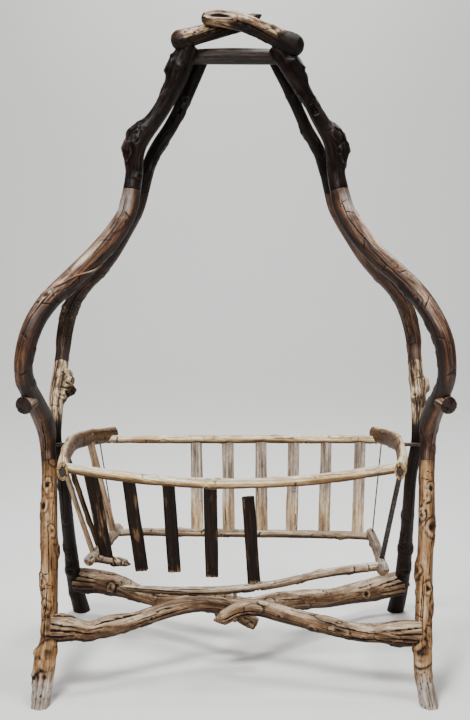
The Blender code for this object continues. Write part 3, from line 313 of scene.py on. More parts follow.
def end_profile(kind, at, inward, radius):
    """(length, share of the radius) rings of a log's end, from its middle outwards."""
    shares = (0.03, 0.14, 0.28, 0.42, 0.56, 0.70, 0.83, 0.93)
    if kind in ("round", "bulb"):
        rise = (0.38 if kind == "round" else 0.90) * radius
        rings = [(at - inward * rise * math.sqrt(1 - f * f), f) for f in shares]
        return rings + [(at - inward * rise * 0.16, 0.985)]
    if kind == "flush":
        return [(at, f) for f in shares] + [(at + inward * 0.0002, 0.99)]
    if kind == "worn":
        rings = [(at + inward * 0.20 * radius * f**4, f) for f in shares]
        return rings + [(at + inward * 0.30 * radius, 0.985)]
    if kind == "pointed":
        return [(at + inward * 1.9 * radius * f**1.3, f) for f in shares]
    return [(at, f) for f in shares] + [(at + inward * 0.0008, 0.975)]


class Skin:
    """A fine skin round a path: rings along it, sides round it, and marks added to both."""

    def __init__(self, name, path, start, end, ends=("cut", "cut"), sides=72, step=0.003,
                 reference=FRONTWARD, flat=(1.0, 1.0), board=None, seed=0):
        _, _, edge_radii = path.read(np.array([start, end]))
        first = end_profile(ends[0], start, 1, edge_radii[0])
        last = end_profile(ends[1], end, -1, edge_radii[1])
        low, high = first[-1][0] + step / 2, last[-1][0] - step / 2
        body = [(s, 1.0) for s in np.linspace(low, high, max(3, round((high - low) / step)))]
        rings = np.array(first + body + last[::-1])
        self.name, self.seed, self.full_length = name, seed, path.length
        self.marks = seed + int(1000 * start)
        self.mesh, ring, side = grid_mesh(name, len(rings), sides)
        self.ring, self.side, self.sides = ring, side % sides, sides
        self.length = rings[ring, 0]
        self.share = rings[ring, 1]
        self.angle = TURN * side / sides
        self.middle, self.way, self.radius = path.read(self.length)
        across = np.array(reference, dtype=float)
        across = across - self.way * (self.way @ across)[:, None]
        self.across = across / np.linalg.norm(across, axis=1)[:, None]
        self.upright = np.cross(self.way, self.across)
        cos, sin = np.cos(self.angle), np.sin(self.angle)
        if board:
            reach = (np.abs(cos / board[0]) ** 9 + np.abs(sin / board[1]) ** 9) ** (-1 / 9)
            self.radius = reach
            self.outward = self.across * cos[:, None] + self.upright * sin[:, None]
        else:
            self.outward = (self.across * (cos * flat[0])[:, None]
                            + self.upright * (sin * flat[1])[:, None])
        self.straight = np.stack(
            [self.length + seed * 3.7, self.radius * self.share * cos,
             self.radius * self.share * sin], axis=1)
        self.on_end = np.maximum(first_mask(ring, len(first)),
                                 first_mask(len(rings) - 1 - ring, len(last)))
        self.lift = np.zeros(len(ring))
        self.along = np.zeros(len(ring))
        # paint: dark for cracks, knot eyes and char, with painted shade in hollows; shade for
        # stains and painted shade, and below 0 for lightening and painted light; pale for painted
        # light on lit faces, some bleaching and pale patches; frost for grey weathering, painted
        # grey sheen and pale rims round hollows
        self.dark = np.zeros(len(ring))
        self.shade = np.zeros(len(ring))
        self.pale = np.zeros(len(ring))
        self.frost = np.zeros(len(ring))

    # -- marks that change the shape, and the paint that goes with them
    def lobes(self, size, along, around):
        """Broad unevenness, as a share of the radius."""
        places = self.straight * (along, around, around)
        self.lift += size * self.radius * layered(places, 3, self.seed)

    def flutes(self, depth, along=4.0, around=110.0):
        """Long shallow furrows and ridges in metres, with painted shade in the furrows."""
        sway = layered(self.straight * (7, 20, 20), 2, self.seed + 3)[:, None] * (0, 0.004, 0.004)
        places = (self.straight + sway) * (along, around, around)
        ridge = layered(places, 3, self.seed + 5)
        self.lift += depth * (1 - 2 * np.abs(ridge)) * 0.7
        self.dark += 0.25 * soft_step(0.35, 0.75, np.abs(ridge))

    def wobble(self, size, along=9.0):
        """Moves the middle of the log to and fro."""
        places = np.stack([self.length * along + self.seed, self.length * 0, self.length * 0], 1)
        for way, seed in ((self.across, 21), (self.upright, 22)):
            shift = noise(places, self.seed + seed) * size
            self.middle = self.middle + way * shift[:, None]

    def knot(self, at, angle, size, height, pit, longer=1.3, ink=0.7):
        """A knot: a swelling with a rim and an eye."""
        far = self.distance(at, angle, size * longer, size)
        self.lift += height * np.exp(-far * far * 0.8)
        self.lift += 0.25 * height * np.exp(-(((far - 0.62) / 0.16) ** 2))
        self.lift -= pit * np.exp(-((far / 0.42) ** 2))
        self.dark += ink * 0.7 * np.exp(-((far / 0.30) ** 2))
        broken = soft_step(-0.35, 0.35, noise(self.straight * 70, self.seed + 11))
        self.dark += ink * 0.9 * broken * np.exp(-(((far - 0.88) / 0.11) ** 2))
        self.shade -= ink * 0.15 * np.exp(-(((far - 0.58) / 0.15) ** 2))

    def distance(self, at, angle, half_length, half_width):
        """How far each point is from that place on the skin, in half sizes, a little uneven."""
        round_way = turned_from(self.angle, angle) * self.radius
        ragged = 1 + 0.26 * noise(self.straight * (1.5 / half_width), self.seed + 7)
        return np.hypot((self.length - at) / half_length, round_way / half_width) * ragged

    def crack(self, start, end, angle, width, depth, drift):
        """A check that runs with the grain, deepest at its middle."""
        share = (self.length - start) / (end - start)
        inside = (share > 0) & (share < 1)
        swell = np.sqrt(np.sin(math.pi * np.clip(share, 0, 1)))
        places = np.stack([self.length * 28, self.length * 0 + angle, self.length * 0], 1)
        sway = 0.10 * layered(places, 3, self.seed + 9)
        off = turned_from(self.angle, angle + drift * share + sway) * self.radius
        groove = np.exp(-((off / (width * (0.35 + 0.65 * swell))) ** 2)) * swell * inside
        lips = np.exp(-(((np.abs(off) - 1.7 * width) / width) ** 2)) * swell * inside
        self.lift += (0.22 * lips - groove) * depth
        self.dark += 0.95 * soft_step(0.22, 0.75, groove)

    def cross_check(self, at, angle, half_turn, width, depth, slope):
        """A short check across the grain."""
        off_angle = turned_from(self.angle, angle)
        window = np.clip(1 - (off_angle / half_turn) ** 2, 0, 1)
        places = np.stack([self.angle * 3.5, self.length * 0 + at * 50, self.length * 0], 1)
        jag = 0.0022 * layered(places, 2, self.seed + 13)
        off = self.length - at - slope * off_angle * self.radius - jag
        groove = np.exp(-((off / width) ** 2)) * np.sqrt(window)
        self.lift -= groove * depth
        self.dark += 0.9 * soft_step(0.25, 0.8, groove)

    def random_places(self, seed, count, numbers, start=None, end=None):
        """Fixed random lengths for that many marks, each with more numbers from 0 to 1."""
        rng = np.random.default_rng(seed + self.marks)
        low = self.length.min() if start is None else start
        high = self.length.max() if end is None else end
        for _ in range(count):
            share, *others = rng.random(numbers + 1)
            yield low + (high - low) * share, *others

    def random_checks(self, count, width, depth, longest, start=None, end=None):
        """Checks with the grain at fixed random places."""
        for at, size, angle, drift, scale in self.random_places(1000, count, 4, start, end):
            scale = 0.5 + 0.7 * scale
            self.crack(at, at + longest * (0.35 + 0.65 * size), angle * TURN, width * scale,
                       depth * scale, (drift - 0.5) * 0.3)

    def random_cross_checks(self, count, width, depth, start=None, end=None):
        """Checks across the grain at fixed random places."""
        for at, angle, reach, slope, scale in self.random_places(2000, count, 4, start, end):
            scale = 0.5 + 0.7 * scale
            self.cross_check(at, angle * TURN, 0.35 + 0.7 * reach, width * scale,
                             depth * scale, (slope - 0.5) * 1.2)

    def random_knots(self, count, size, height):
        """Knots at fixed random places, kept off the log's ends."""
        low, high = self.length.min(), self.length.max()
        margin = 0.05 * (high - low)
        places = self.random_places(3000, count, 3, low + margin, high - margin)
        for at, angle, scale, pit in places:
            self.knot(at, angle * TURN, size * (0.6 + 0.6 * scale),
                      height * (0.4 + 0.8 * scale), pit * height * 0.6)

    def flake(self, at, angle, half_length, half_width, height, ink=0.8):
        """A raised scale of bark with a dark gap along its edge."""
        far = self.distance(at, angle, half_length, half_width)
        self.lift += height * soft_step(1.06, 0.84, far) * (0.55 + 0.45 * far.clip(0, 1))
        broken = soft_step(-0.45, 0.25, noise(self.straight * 60, self.seed + 12))
        self.dark += ink * broken * np.exp(-(((far - 1.08) / 0.09) ** 2))

    def random_flakes(self, count, size, height):
        """Flakes at fixed random places."""
        for at, angle, longer, scale in self.random_places(5000, count, 3):
            wide = size * (0.45 + 0.75 * scale)
            self.flake(at, angle * TURN, wide * (1 + 1.8 * longer), wide,
                       height * (0.5 + 0.6 * scale), 0.75)

    def hollow(self, at, angle, half_length, half_width, depth, square=False):
        """A sharp-edged hole, square like a mortise or else with a broad pale rim."""
        power, core = (8, 1.0) if square else (2, 0.55)
        along = np.abs(self.length - at) / half_length
        around = np.abs(turned_from(self.angle, angle)) * self.radius / half_width
        far = (along**power + around**power) ** (1 / power)
        self.lift -= depth * soft_step(1.05, 0.40, far)
        self.dark += soft_step(core, core - 0.15, far)
        self.dark += 0.8 * np.exp(-(((far - 1.25) / 0.07) ** 2))
        if not square:
            rim = soft_step(0.45, 0.65, far) * soft_step(1.25, 1.10, far)
            self.frost += 0.35 * rim
            self.shade -= 0.7 * rim

    def relief(self):
        """Paints shade into the skin's hollows and a highlight onto its ridges."""
        low, high = 0.00018, 0.0011
        field = np.zeros((self.ring.max() + 1, self.sides))
        field[self.ring, self.side] = self.lift
        passes = 8
        mean = np.pad(field, ((passes, passes), (0, 0)), "edge")
        for _ in range(passes):
            mean = (mean[:-2] + 2 * mean[1:-1] + mean[2:]) / 4
            mean = (np.roll(mean, 1, 1) + 2 * mean + np.roll(mean, -1, 1)) / 4
        depth = (mean - field)[self.ring, self.side] * (1 - self.on_end)
        self.dark += 0.9 * soft_step(low * 1.8, high * 0.9, depth)
        self.shade += 0.75 * soft_step(low * 0.4, high * 0.6, depth)
        self.shade -= 0.22 * soft_step(low, high * 0.8, -depth)

    def hew(self, until, depth):
        """Axe facets over the first stretch of the log."""
        facets, stroke = 7, 0.021
        slices = np.floor(self.length / stroke + noise(self.straight * 40, self.seed)).astype(int)
        turn = lattice(np.stack([slices, slices * 0, slices * 0], 1), self.seed)
        phase = (self.angle + turn * TURN) * facets / TURN
        near = np.abs((phase % 1) - 0.5)
        amount = soft_step(until, until - 0.03, self.length)
        self.lift += (near * 2 - 0.6) * depth * amount
        self.lift -= 0.0009 * amount

    def end_face(self, depth=0.0016, rays=6):
        """Radial checks and roughness on the ends, whose rings the material draws."""
        spokes = np.zeros(len(self.length))
        rng = np.random.default_rng(4000 + self.seed)
        sway = 0.25 * layered(self.straight * 160, 2, self.seed + 2)
        for angle in rng.random(rays) * TURN:
            off = turned_from(self.angle, angle) + sway
            gap = np.exp(-((off * self.share * self.radius / 0.0009) ** 2))
            spokes = np.maximum(spokes, gap * soft_step(0.10, 0.4, self.share))
        rough = layered(self.straight * (60, 300, 300), 2, self.seed + 4) * 0.0006
        sense = np.where(self.length > (self.length.min() + self.length.max()) / 2, 1, -1)
        self.along += sense * self.on_end * (rough - spokes * depth)
        self.dark += self.on_end * spokes * 0.8

    # -- paint alone
    def stain_and_shade(self, low, high, amount, blend, angle=None, half_turn=1.0):
        """Darkens, or lightens with an amount below 0, a stretch of the log or only its side
        towards an angle; over 1 chars it. Besides the wood's own stains it paints shade on
        undersides and far sides, and light on lit stretches.
        """
        edge = 0.5 * blend * layered(self.straight * (30, 60, 60), 2, self.seed + 6)
        window = (soft_step(low - blend, low + blend, self.length + edge)
                  * soft_step(high + blend, high - blend, self.length + edge))
        if angle is not None:
            off = np.abs(turned_from(self.angle, angle))
            window = window * soft_step(half_turn * 1.3, half_turn * 0.6, off)
        self.shade += amount * window
        self.dark += max(0.0, amount - 1) * window

    def bleach_and_highlight(self, amount, low, high, way=(0, -0.25, 1.0), span=None):
        """Pales the skin where it faces that way, over the whole log or over a span of it:
        painted light on the lit faces, with some sun bleaching.
        """
        way = np.array(way) / np.linalg.norm(way)
        facing = self.outward @ way
        patches = 0.45 * layered(self.straight * (9, 40, 40), 3, self.seed + 8)
        pale = amount * soft_step(low, high, facing + patches)
        if span:
            pale *= (soft_step(span[0] - 0.03, span[0] + 0.03, self.length)
                     * soft_step(span[1] + 0.03, span[1] - 0.03, self.length))
        self.pale += pale

    def grey_weather_and_sheen(self, amount, low, high, way, span=None):
        """Turns the skin ashen grey where it faces that way, over the log or over a span: grey
        weathering together with a painted grey sheen and glints on the lit faces.
        """
        kept, self.pale = self.pale, np.zeros(len(self.pale))
        self.bleach_and_highlight(amount, low, high, way, span)
        self.frost += self.pale
        self.pale = kept

    def make(self, material, nodes, body=None, standing=False):
        """Wraps the grid round the path, saws it at the floor if it stands there, and adds it."""
        # painted shade in the hollows and painted highlight on the ridges
        self.relief()
        spread = self.share * self.radius + self.lift * np.minimum(self.share, 1) ** 0.5
        points = self.middle + self.outward * spread[:, None] + self.way * self.along[:, None]
        self.mesh.vertices.foreach_set("co", np.ascontiguousarray(points, np.float32).ravel())
        straight = self.mesh.attributes.new("straight", "FLOAT_VECTOR", "POINT")
        straight.data.foreach_set(
            "vector", np.ascontiguousarray(self.straight, np.float32).ravel())
        paint(self.mesh, "dark", np.clip(self.dark, 0, 1))
        paint(self.mesh, "shade", np.clip(self.shade, -1, 1))
        # the pale and frost paint, painted light and sheen among it, is left off where the shade
        # paint darkens
        lit = 1 - np.clip(1.15 * self.shade, 0, 1)
        paint(self.mesh, "pale", np.clip(self.pale, 0, 1) * lit)
        paint(self.mesh, "frost", np.clip(self.frost, 0, 1) * lit)
        paint(self.mesh, "cut", self.on_end)
        finish_mesh(self.mesh, standing)
        add_piece(self.name, self.mesh, material, nodes, body)


def bare_log(tag, name, axis, insets, drawn, ends, sides, fineness, seed, pitch=0.012,
             blur=0.010, **shape):
    """The bare skin of one CAD node that runs along an axis.

    It is measured from one inset to the other, and drawn out to near each end of the node.
    """
    low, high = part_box(tag)
    path = measure_path([tag], axis, (low[axis] + insets[0], high[axis] - insets[1]),
                        (low[axis] + drawn[0], high[axis] - drawn[1]), pitch=pitch, blur=blur)
    return Skin(name, path, 0.0, path.length, ends, sides, fineness, seed=seed, **shape)


def first_mask(ring, count):
    """1 on the rings before the count, 0 past them."""
    return (ring < count).astype(float)


# ---------------------------------------------------------------- materials
def linked(tree, kind, inputs=(), **settings):
    """A node of that kind with its settings, and its inputs linked or given a value."""
    node = tree.nodes.new(kind)
    for key, value in settings.items():
        setattr(node, key, value)
    for key, value in dict(inputs).items():
        if isinstance(value, bpy.types.NodeSocket):
            tree.links.new(value, node.inputs[key])
        else:
            node.inputs[key].default_value = value
    return node


def ramp(tree, factor, *stops):
    """A colour ramp: each stop is (place, grey or colour)."""
    node = linked(tree, "ShaderNodeValToRGB", {0: factor})
    elements = node.color_ramp.elements
    while len(elements) < len(stops):
        elements.new(0.5)
    for element, (place, colour) in zip(elements, stops):
        element.position = place
        grey = isinstance(colour, float)
        element.color = (colour, colour, colour, 1) if grey else (*colour, 1)
    return node.outputs[0]


def mixed(tree, factor, first, second, blend="MIX"):
    """Two colours mixed."""
    node = tree.nodes.new("ShaderNodeMix")
    node.data_type = "RGBA"
    node.blend_type = blend
    for key, value in ((0, factor), (6, first), (7, second)):
        if isinstance(value, bpy.types.NodeSocket):
            tree.links.new(value, node.inputs[key])
        elif key == 0:
            node.inputs[0].default_value = value
        else:
            node.inputs[key].default_value = (*value, 1)
    return node.outputs[2]


def sums(tree, operation, first, second, clamp=False):
    node = linked(tree, "ShaderNodeMath", {0: first, 1: second}, operation=operation)
    node.use_clamp = clamp
    return node.outputs[0]


def weighted(tree, *terms):
    """The sum of some values, each times its weight."""
    products = [sums(tree, "MULTIPLY", value, weight) for value, weight in terms]
    total = products[0]
    for product in products[1:]:
        total = sums(tree, "ADD", total, product)
    return total


def scaled_noise(tree, vector, scale, detail, rough, distort=0.0):
    """Noise on the vector stretched by a three-number scale."""
    mapped = linked(tree, "ShaderNodeMapping", {"Vector": vector, "Scale": scale})
    node = linked(tree, "ShaderNodeTexNoise",
                  {"Vector": mapped.outputs[0], "Scale": 1.0, "Detail": detail,
                   "Roughness": rough, "Distortion": distort})
    return node.outputs[0]


def new_material(name):
    """A material, its node tree and its shader."""
    material = bpy.data.materials.new(name)
    material.use_nodes = True
    tree = material.node_tree
    return material, tree, tree.nodes["Principled BSDF"]


def wood_material(name, mid, deep, light, pale, roughness=0.7, grain=1.0, gloss=0.25,
                  hairlines=0.5):
    """Weathered wood that follows each piece's own straightened grain."""
    material, tree, shader = new_material(name)
    along = linked(tree, "ShaderNodeAttribute", attribute_name="straight").outputs["Vector"]
    masks = {
        key: linked(tree, "ShaderNodeAttribute", attribute_name=key).outputs["Fac"]
        for key in ("dark", "shade", "pale", "cut", "frost")
    }
    fibre = scaled_noise(tree, along, (14 * grain, 700 * grain, 700 * grain), 5, 0.65)
    streak = scaled_noise(tree, along, (4 * grain, 150 * grain, 150 * grain), 7, 0.62, 0.4)
    patch = scaled_noise(tree, along, (13, 42, 42), 6, 0.62, 0.5)
    mottle = scaled_noise(tree, along, (120, 260, 260), 4, 0.6)
    line = scaled_noise(tree, along, (9, 260, 260), 3, 0.55, 0.3)

    tone = weighted(tree, (fibre, 0.42), (streak, 0.58),
                    (sums(tree, "SUBTRACT", patch, 0.5), 0.55))
    wood = ramp(tree, tone, (0.35, deep), (0.49, mid), (0.64, light))
    # lit tones of the wood: painted light, with some bleaching, wherever the pale paint is set
    lit_and_bleached = ramp(tree, tone, (0.33, mid), (0.45, light), (0.58, pale))
    veil = sums(tree, "MULTIPLY", masks["pale"],
                ramp(tree, patch, (0.28, 0.45), (0.62, 1.0)), clamp=True)
    colour = mixed(tree, veil, wood, lit_and_bleached)

    rings = linked(tree, "ShaderNodeTexWave",
                   {"Vector": along, "Scale": 95.0, "Distortion": 2.5, "Detail": 3.0,
                    "Detail Scale": 1.5}, wave_type="RINGS", rings_direction="X")
    face = ramp(tree, rings.outputs[1], (0.2, deep), (0.6, mid), (1.0, light))
    face = mixed(tree, 0.55, face, wood)
    colour = mixed(tree, masks["cut"], colour, face)

    cracks = ramp(tree, line, (0.485, 0.0), (0.497, 1.0), (0.503, 1.0), (0.515, 0.0))
    cracks = sums(tree, "MULTIPLY", cracks, ramp(tree, patch, (0.45, 0.0), (0.62, hairlines)))
    # the shade paint darkens towards this brown, for the wood's stains and for painted shade;
    # below 0 it lifts the colour to the lit tones as painted light
    stain_and_shade_amount = sums(tree, "MULTIPLY", masks["shade"], 1.0, clamp=True)
    lifted = sums(tree, "MULTIPLY", masks["shade"], -1.0, clamp=True)
    colour = mixed(tree, stain_and_shade_amount, colour, mixed(tree, 1.0, colour, (0.30, 0.24, 0.22),
                                                "MULTIPLY"))
    colour = mixed(tree, lifted, colour, lit_and_bleached)
    # ashen grey where the frost paint is set: grey weathering, a painted grey sheen on lit faces,
    # and pale rims round hollows
    ash = ramp(tree, tone, (0.36, (0.13, 0.105, 0.085)), (0.49, (0.37, 0.33, 0.29)),
               (0.64, (0.74, 0.71, 0.67)))
    colour = mixed(tree, masks["frost"], colour, ash)
    specks = ramp(tree, mottle, (0.30, 0.75), (0.52, 1.0), (0.75, 1.12))
    colour = mixed(tree, 0.8, colour, specks, "MULTIPLY")
    # the dark paint: cracks, fine hairline cracks, knot eyes and char, together with painted
    # shade in the skin's hollows
    gaps = sums(tree, "MAXIMUM", masks["dark"], cracks, clamp=True)
    inside = tuple(0.16 * c for c in deep)
    colour = mixed(tree, gaps, colour, inside)
    colour = linked(tree, "ShaderNodeGamma", {"Color": colour, "Gamma": 1.28}).outputs[0]
    tree.links.new(colour, shader.inputs["Base Color"])

    dull = sums(tree, "ADD", roughness - 0.12, weighted(tree, (patch, 0.24), (gaps, 0.15)),
                clamp=True)
    tree.links.new(dull, shader.inputs["Roughness"])
    shader.inputs["Specular IOR Level"].default_value = gloss
    height = weighted(tree, (fibre, 0.35), (streak, 0.75), (mottle, 0.30), (cracks, -0.9))
    bump = linked(tree, "ShaderNodeBump",
                  {"Strength": 0.85, "Distance": 0.0018, "Height": height})
    tree.links.new(bump.outputs[0], shader.inputs["Normal"])
    return material


def iron_material(name, colour):
    """Blackened iron with blotches of rust and brighter worn spots."""
    material, tree, shader = new_material(name)
    place = linked(tree, "ShaderNodeTexCoord").outputs["Object"]
    scale = scaled_noise(tree, place, (320, 320, 320), 6, 0.65)
    blotch = scaled_noise(tree, place, (90, 90, 90), 4, 0.6)
    worn = tuple(min(1.0, 3.2 * c) for c in colour)
    base = ramp(tree, scale, (0.35, tuple(0.5 * c for c in colour)), (0.55, colour),
                (0.75, worn))
    rust = ramp(tree, blotch, (0.52, 0.0), (0.66, 0.8))
    base = mixed(tree, rust, base, (0.11, 0.042, 0.018))
    tree.links.new(base, shader.inputs["Base Color"])
    metal = sums(tree, "SUBTRACT", 0.9, sums(tree, "MULTIPLY", rust, 0.8))
    tree.links.new(metal, shader.inputs["Metallic"])
    tree.links.new(sums(tree, "ADD", 0.38, sums(tree, "MULTIPLY", scale, 0.35)),
                   shader.inputs["Roughness"])
    bump = linked(tree, "ShaderNodeBump", {"Strength": 0.5, "Distance": 0.0006, "Height": scale})
    tree.links.new(bump.outputs[0], shader.inputs["Normal"])
    return material


def stage_material(name, colour):
    """Plain matt paper."""
    material, _, shader = new_material(name)
    shader.inputs["Base Color"].default_value = (*colour, 1)
    shader.inputs["Roughness"].default_value = 0.85
    return material


# Each finish: the deep, light and pale tones that go with its main colour, which a setting
# holds, and how rough, glossy, coarse and finely cracked it is.
# the pale tone colours the painted light on lit faces, with some bleaching
FINISHES = {
    "leg": dict(deep=(0.050, 0.022, 0.009), light=(0.58, 0.36, 0.17), pale=(0.80, 0.68, 0.52),
                roughness=0.66, hairlines=0.8),
    # near-black tones for the painted shadow on the rear legs; the pale tone is their lit upper
    # stretch
    "rear_leg": dict(deep=(0.012, 0.007, 0.004), light=(0.085, 0.045, 0.024),
                     pale=(0.72, 0.58, 0.40), roughness=0.60, gloss=0.12, hairlines=0.6),
    "arch": dict(deep=(0.022, 0.009, 0.005), light=(0.32, 0.175, 0.088),
                 pale=(0.76, 0.65, 0.54), roughness=0.50, hairlines=0.6),
    "rear_arch": dict(deep=(0.008, 0.005, 0.004), light=(0.095, 0.052, 0.030),
                      pale=(0.46, 0.37, 0.28), roughness=0.50, gloss=0.15, hairlines=0.4),
    "rafter": dict(deep=(0.005, 0.003, 0.003), light=(0.055, 0.034, 0.026),
                   pale=(0.30, 0.25, 0.23), roughness=0.30, gloss=0.10, hairlines=0.3),
    "rear_rafter": dict(deep=(0.005, 0.004, 0.003), light=(0.050, 0.036, 0.026),
                        pale=(0.38, 0.34, 0.30), roughness=0.36, gloss=0.09, hairlines=0.3),
    "crown": dict(deep=(0.020, 0.010, 0.006), light=(0.34, 0.22, 0.12), pale=(0.86, 0.76, 0.57),
                  roughness=0.42, gloss=0.14, hairlines=0.8),
    "ridge": dict(deep=(0.010, 0.006, 0.004), light=(0.085, 0.058, 0.042),
                  pale=(0.40, 0.34, 0.30), roughness=0.55, hairlines=0.6),
    "stretcher": dict(deep=(0.045, 0.021, 0.011), light=(0.52, 0.36, 0.22),
                      pale=(0.92, 0.76, 0.55), roughness=0.66, hairlines=0.9),
    "rim": dict(deep=(0.080, 0.040, 0.018), light=(0.84, 0.64, 0.37), pale=(1.0, 0.94, 0.76),
                roughness=0.55, hairlines=0.9),
    "floor_rail": dict(deep=(0.070, 0.040, 0.024), light=(0.54, 0.38, 0.22),
                       pale=(0.94, 0.82, 0.62), roughness=0.70, hairlines=0.8),
    "pale_slat": dict(deep=(0.110, 0.070, 0.045), light=(0.58, 0.42, 0.26),
                      pale=(0.90, 0.76, 0.56), roughness=0.70, grain=1.2, hairlines=0.7),
    "dark_slat": dict(deep=(0.005, 0.003, 0.002), light=(0.060, 0.032, 0.018),
                      pale=(0.46, 0.30, 0.16), roughness=0.55, gloss=0.12, grain=1.2,
                      hairlines=0.4),
    "peg": dict(deep=(0.05, 0.028, 0.014), light=(0.33, 0.21, 0.11), pale=(0.5, 0.38, 0.25),
                roughness=0.7),
}


def finish(name):
    """The material of that finish, made the first time that it is asked for."""
    made = bpy.data.materials.get(f"{name}_finish")
    if made:
        return made
    settings = bpy.context.scene.cradle_settings
    if name == "iron":
        return iron_material("iron_finish", tuple(settings.iron_colour))
    return wood_material(f"{name}_finish", tuple(getattr(settings, f"{name}_colour")),
                         **FINISHES[name])


# ---------------------------------------------------------------- side frames
FRONT_SPLICE, REAR_SPLICE, ELBOW = 0.492, 0.698, 1.156
STUB_SPAN = (0.612, 0.706)
FORK_HEIGHT = 0.659
SEAM = 0.0002            # half of the gap between two logs of a member
SPLICE_REACH = 0.034     # each side of a splice, where the logs' tenons spoil the measuring
MEMBER_TOP = {"front": 1.512, "rear": 1.494}
UNMEASURED_TOP = 0.062   # the end of a rafter, which is notched for the crown
UNDER_FLOOR = 0.015      # how far a leg goes on before it is sawn at the floor
MEMBER_SIDES = 104
# Each knot: its height, its angle from the front, its size, how far it stands out, its pit.
LEG_KNOTS = {
    "left": ((0.436, -0.1, 0.011, 0.0045, 0.003), (0.393, -0.5, 0.011, 0.0040, 0.003),
             (0.340, 0.5, 0.009, 0.0030, 0.001), (0.300, 1.3, 0.010, 0.0040, 0.001),
             (0.245, -1.2, 0.012, 0.0045, 0.001), (0.188, -0.3, 0.011, 0.0045, 0.003),
             (0.147, -0.1, 0.012, 0.0035, 0.001), (0.098, 0.3, 0.019, 0.0050, 0.002),
             (0.076, -1.3, 0.019, 0.0080, 0.001)),
    "right": ((0.430, 0.3, 0.010, 0.0035, 0.002), (0.372, -0.7, 0.010, 0.0035, 0.001),
              (0.348, 0.3, 0.014, 0.0050, 0.003), (0.260, -1.2, 0.013, 0.0045, 0.001),
              (0.225, 0.2, 0.010, 0.0035, 0.002), (0.190, 0.9, 0.011, 0.0035, 0.001),
              (0.120, -0.7, 0.013, 0.0045, 0.002), (0.096, -0.2, 0.018, 0.0065, 0.002)),
}
# Each check across an arch: its height, its angle, its half turn and its slope.
ARCH_CHECKS = ((0.745, 0.3, 0.5, 0.5), (0.815, -0.4, 0.45, -0.5), (0.885, 0.2, 0.6, 0.8),
               (0.95, 0.5, 0.45, -0.6), (1.025, -0.2, 0.5, 0.7), (1.09, 0.3, 0.45, -0.5))


def member_path(face, side):
    """The centreline of a leg, arch and rafter together, from under the floor up."""
    splice = FRONT_SPLICE if face == "front" else REAR_SPLICE
    skip = [(level - SPLICE_REACH, level + SPLICE_REACH) for level in (splice, ELBOW)]
    if face == "front":
        skip.append(STUB_SPAN)
    nodes = [f"{face}_{side}_{part}" for part in ("leg", "arch", "rafter")]
    top = MEMBER_TOP[face]
    measured = (0.012, min(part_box(nodes[2])[1][Z], top) - UNMEASURED_TOP)
    return measure_path(nodes, Z, measured, (-UNDER_FLOOR, top), skip, blur=0.014)


def make_member(face, side, fineness):
    """A leg, an arch and a rafter, which meet flush where they are spliced."""
    path = member_path(face, side)
    front = face == "front"
    splice = path.length_at(Z, FRONT_SPLICE if front else REAR_SPLICE)
    elbow = path.length_at(Z, ELBOW)
    hand = 1 if side == "right" else -1
    tag = f"{face}_{side}"
    plans = (
        ("leg", "leg" if front else "rear_leg", 0.0, splice - SEAM, ("cut", "flush"), dress_leg),
        ("arch", "rear_arch" if tag == "rear_left" else "arch", splice + SEAM, elbow - SEAM,
         ("flush", "flush"), dress_arch),
        ("rafter", "rafter" if front else "rear_rafter", elbow + SEAM, path.length,
         ("flush", "round"), dress_rafter),
    )
    for part, wood, start, end, ends, dress in plans:
        skin = Skin(f"{tag}_{part}_log", path, start, end, ends, MEMBER_SIDES, fineness,
                    seed=1 + 2 * (not front) + (hand > 0))
        skin.lobes(0.075, 6, 32)
        skin.flutes(0.0008, 3.5, 100)
        dress(skin, path, front, side, hand, splice)
        skin.make(finish(wood), [f"{tag}_{part}"], standing=part == "leg")
    if front:
        make_branch_stub(path, side, hand, fineness)
        if side == "left":
            make_vine(path)


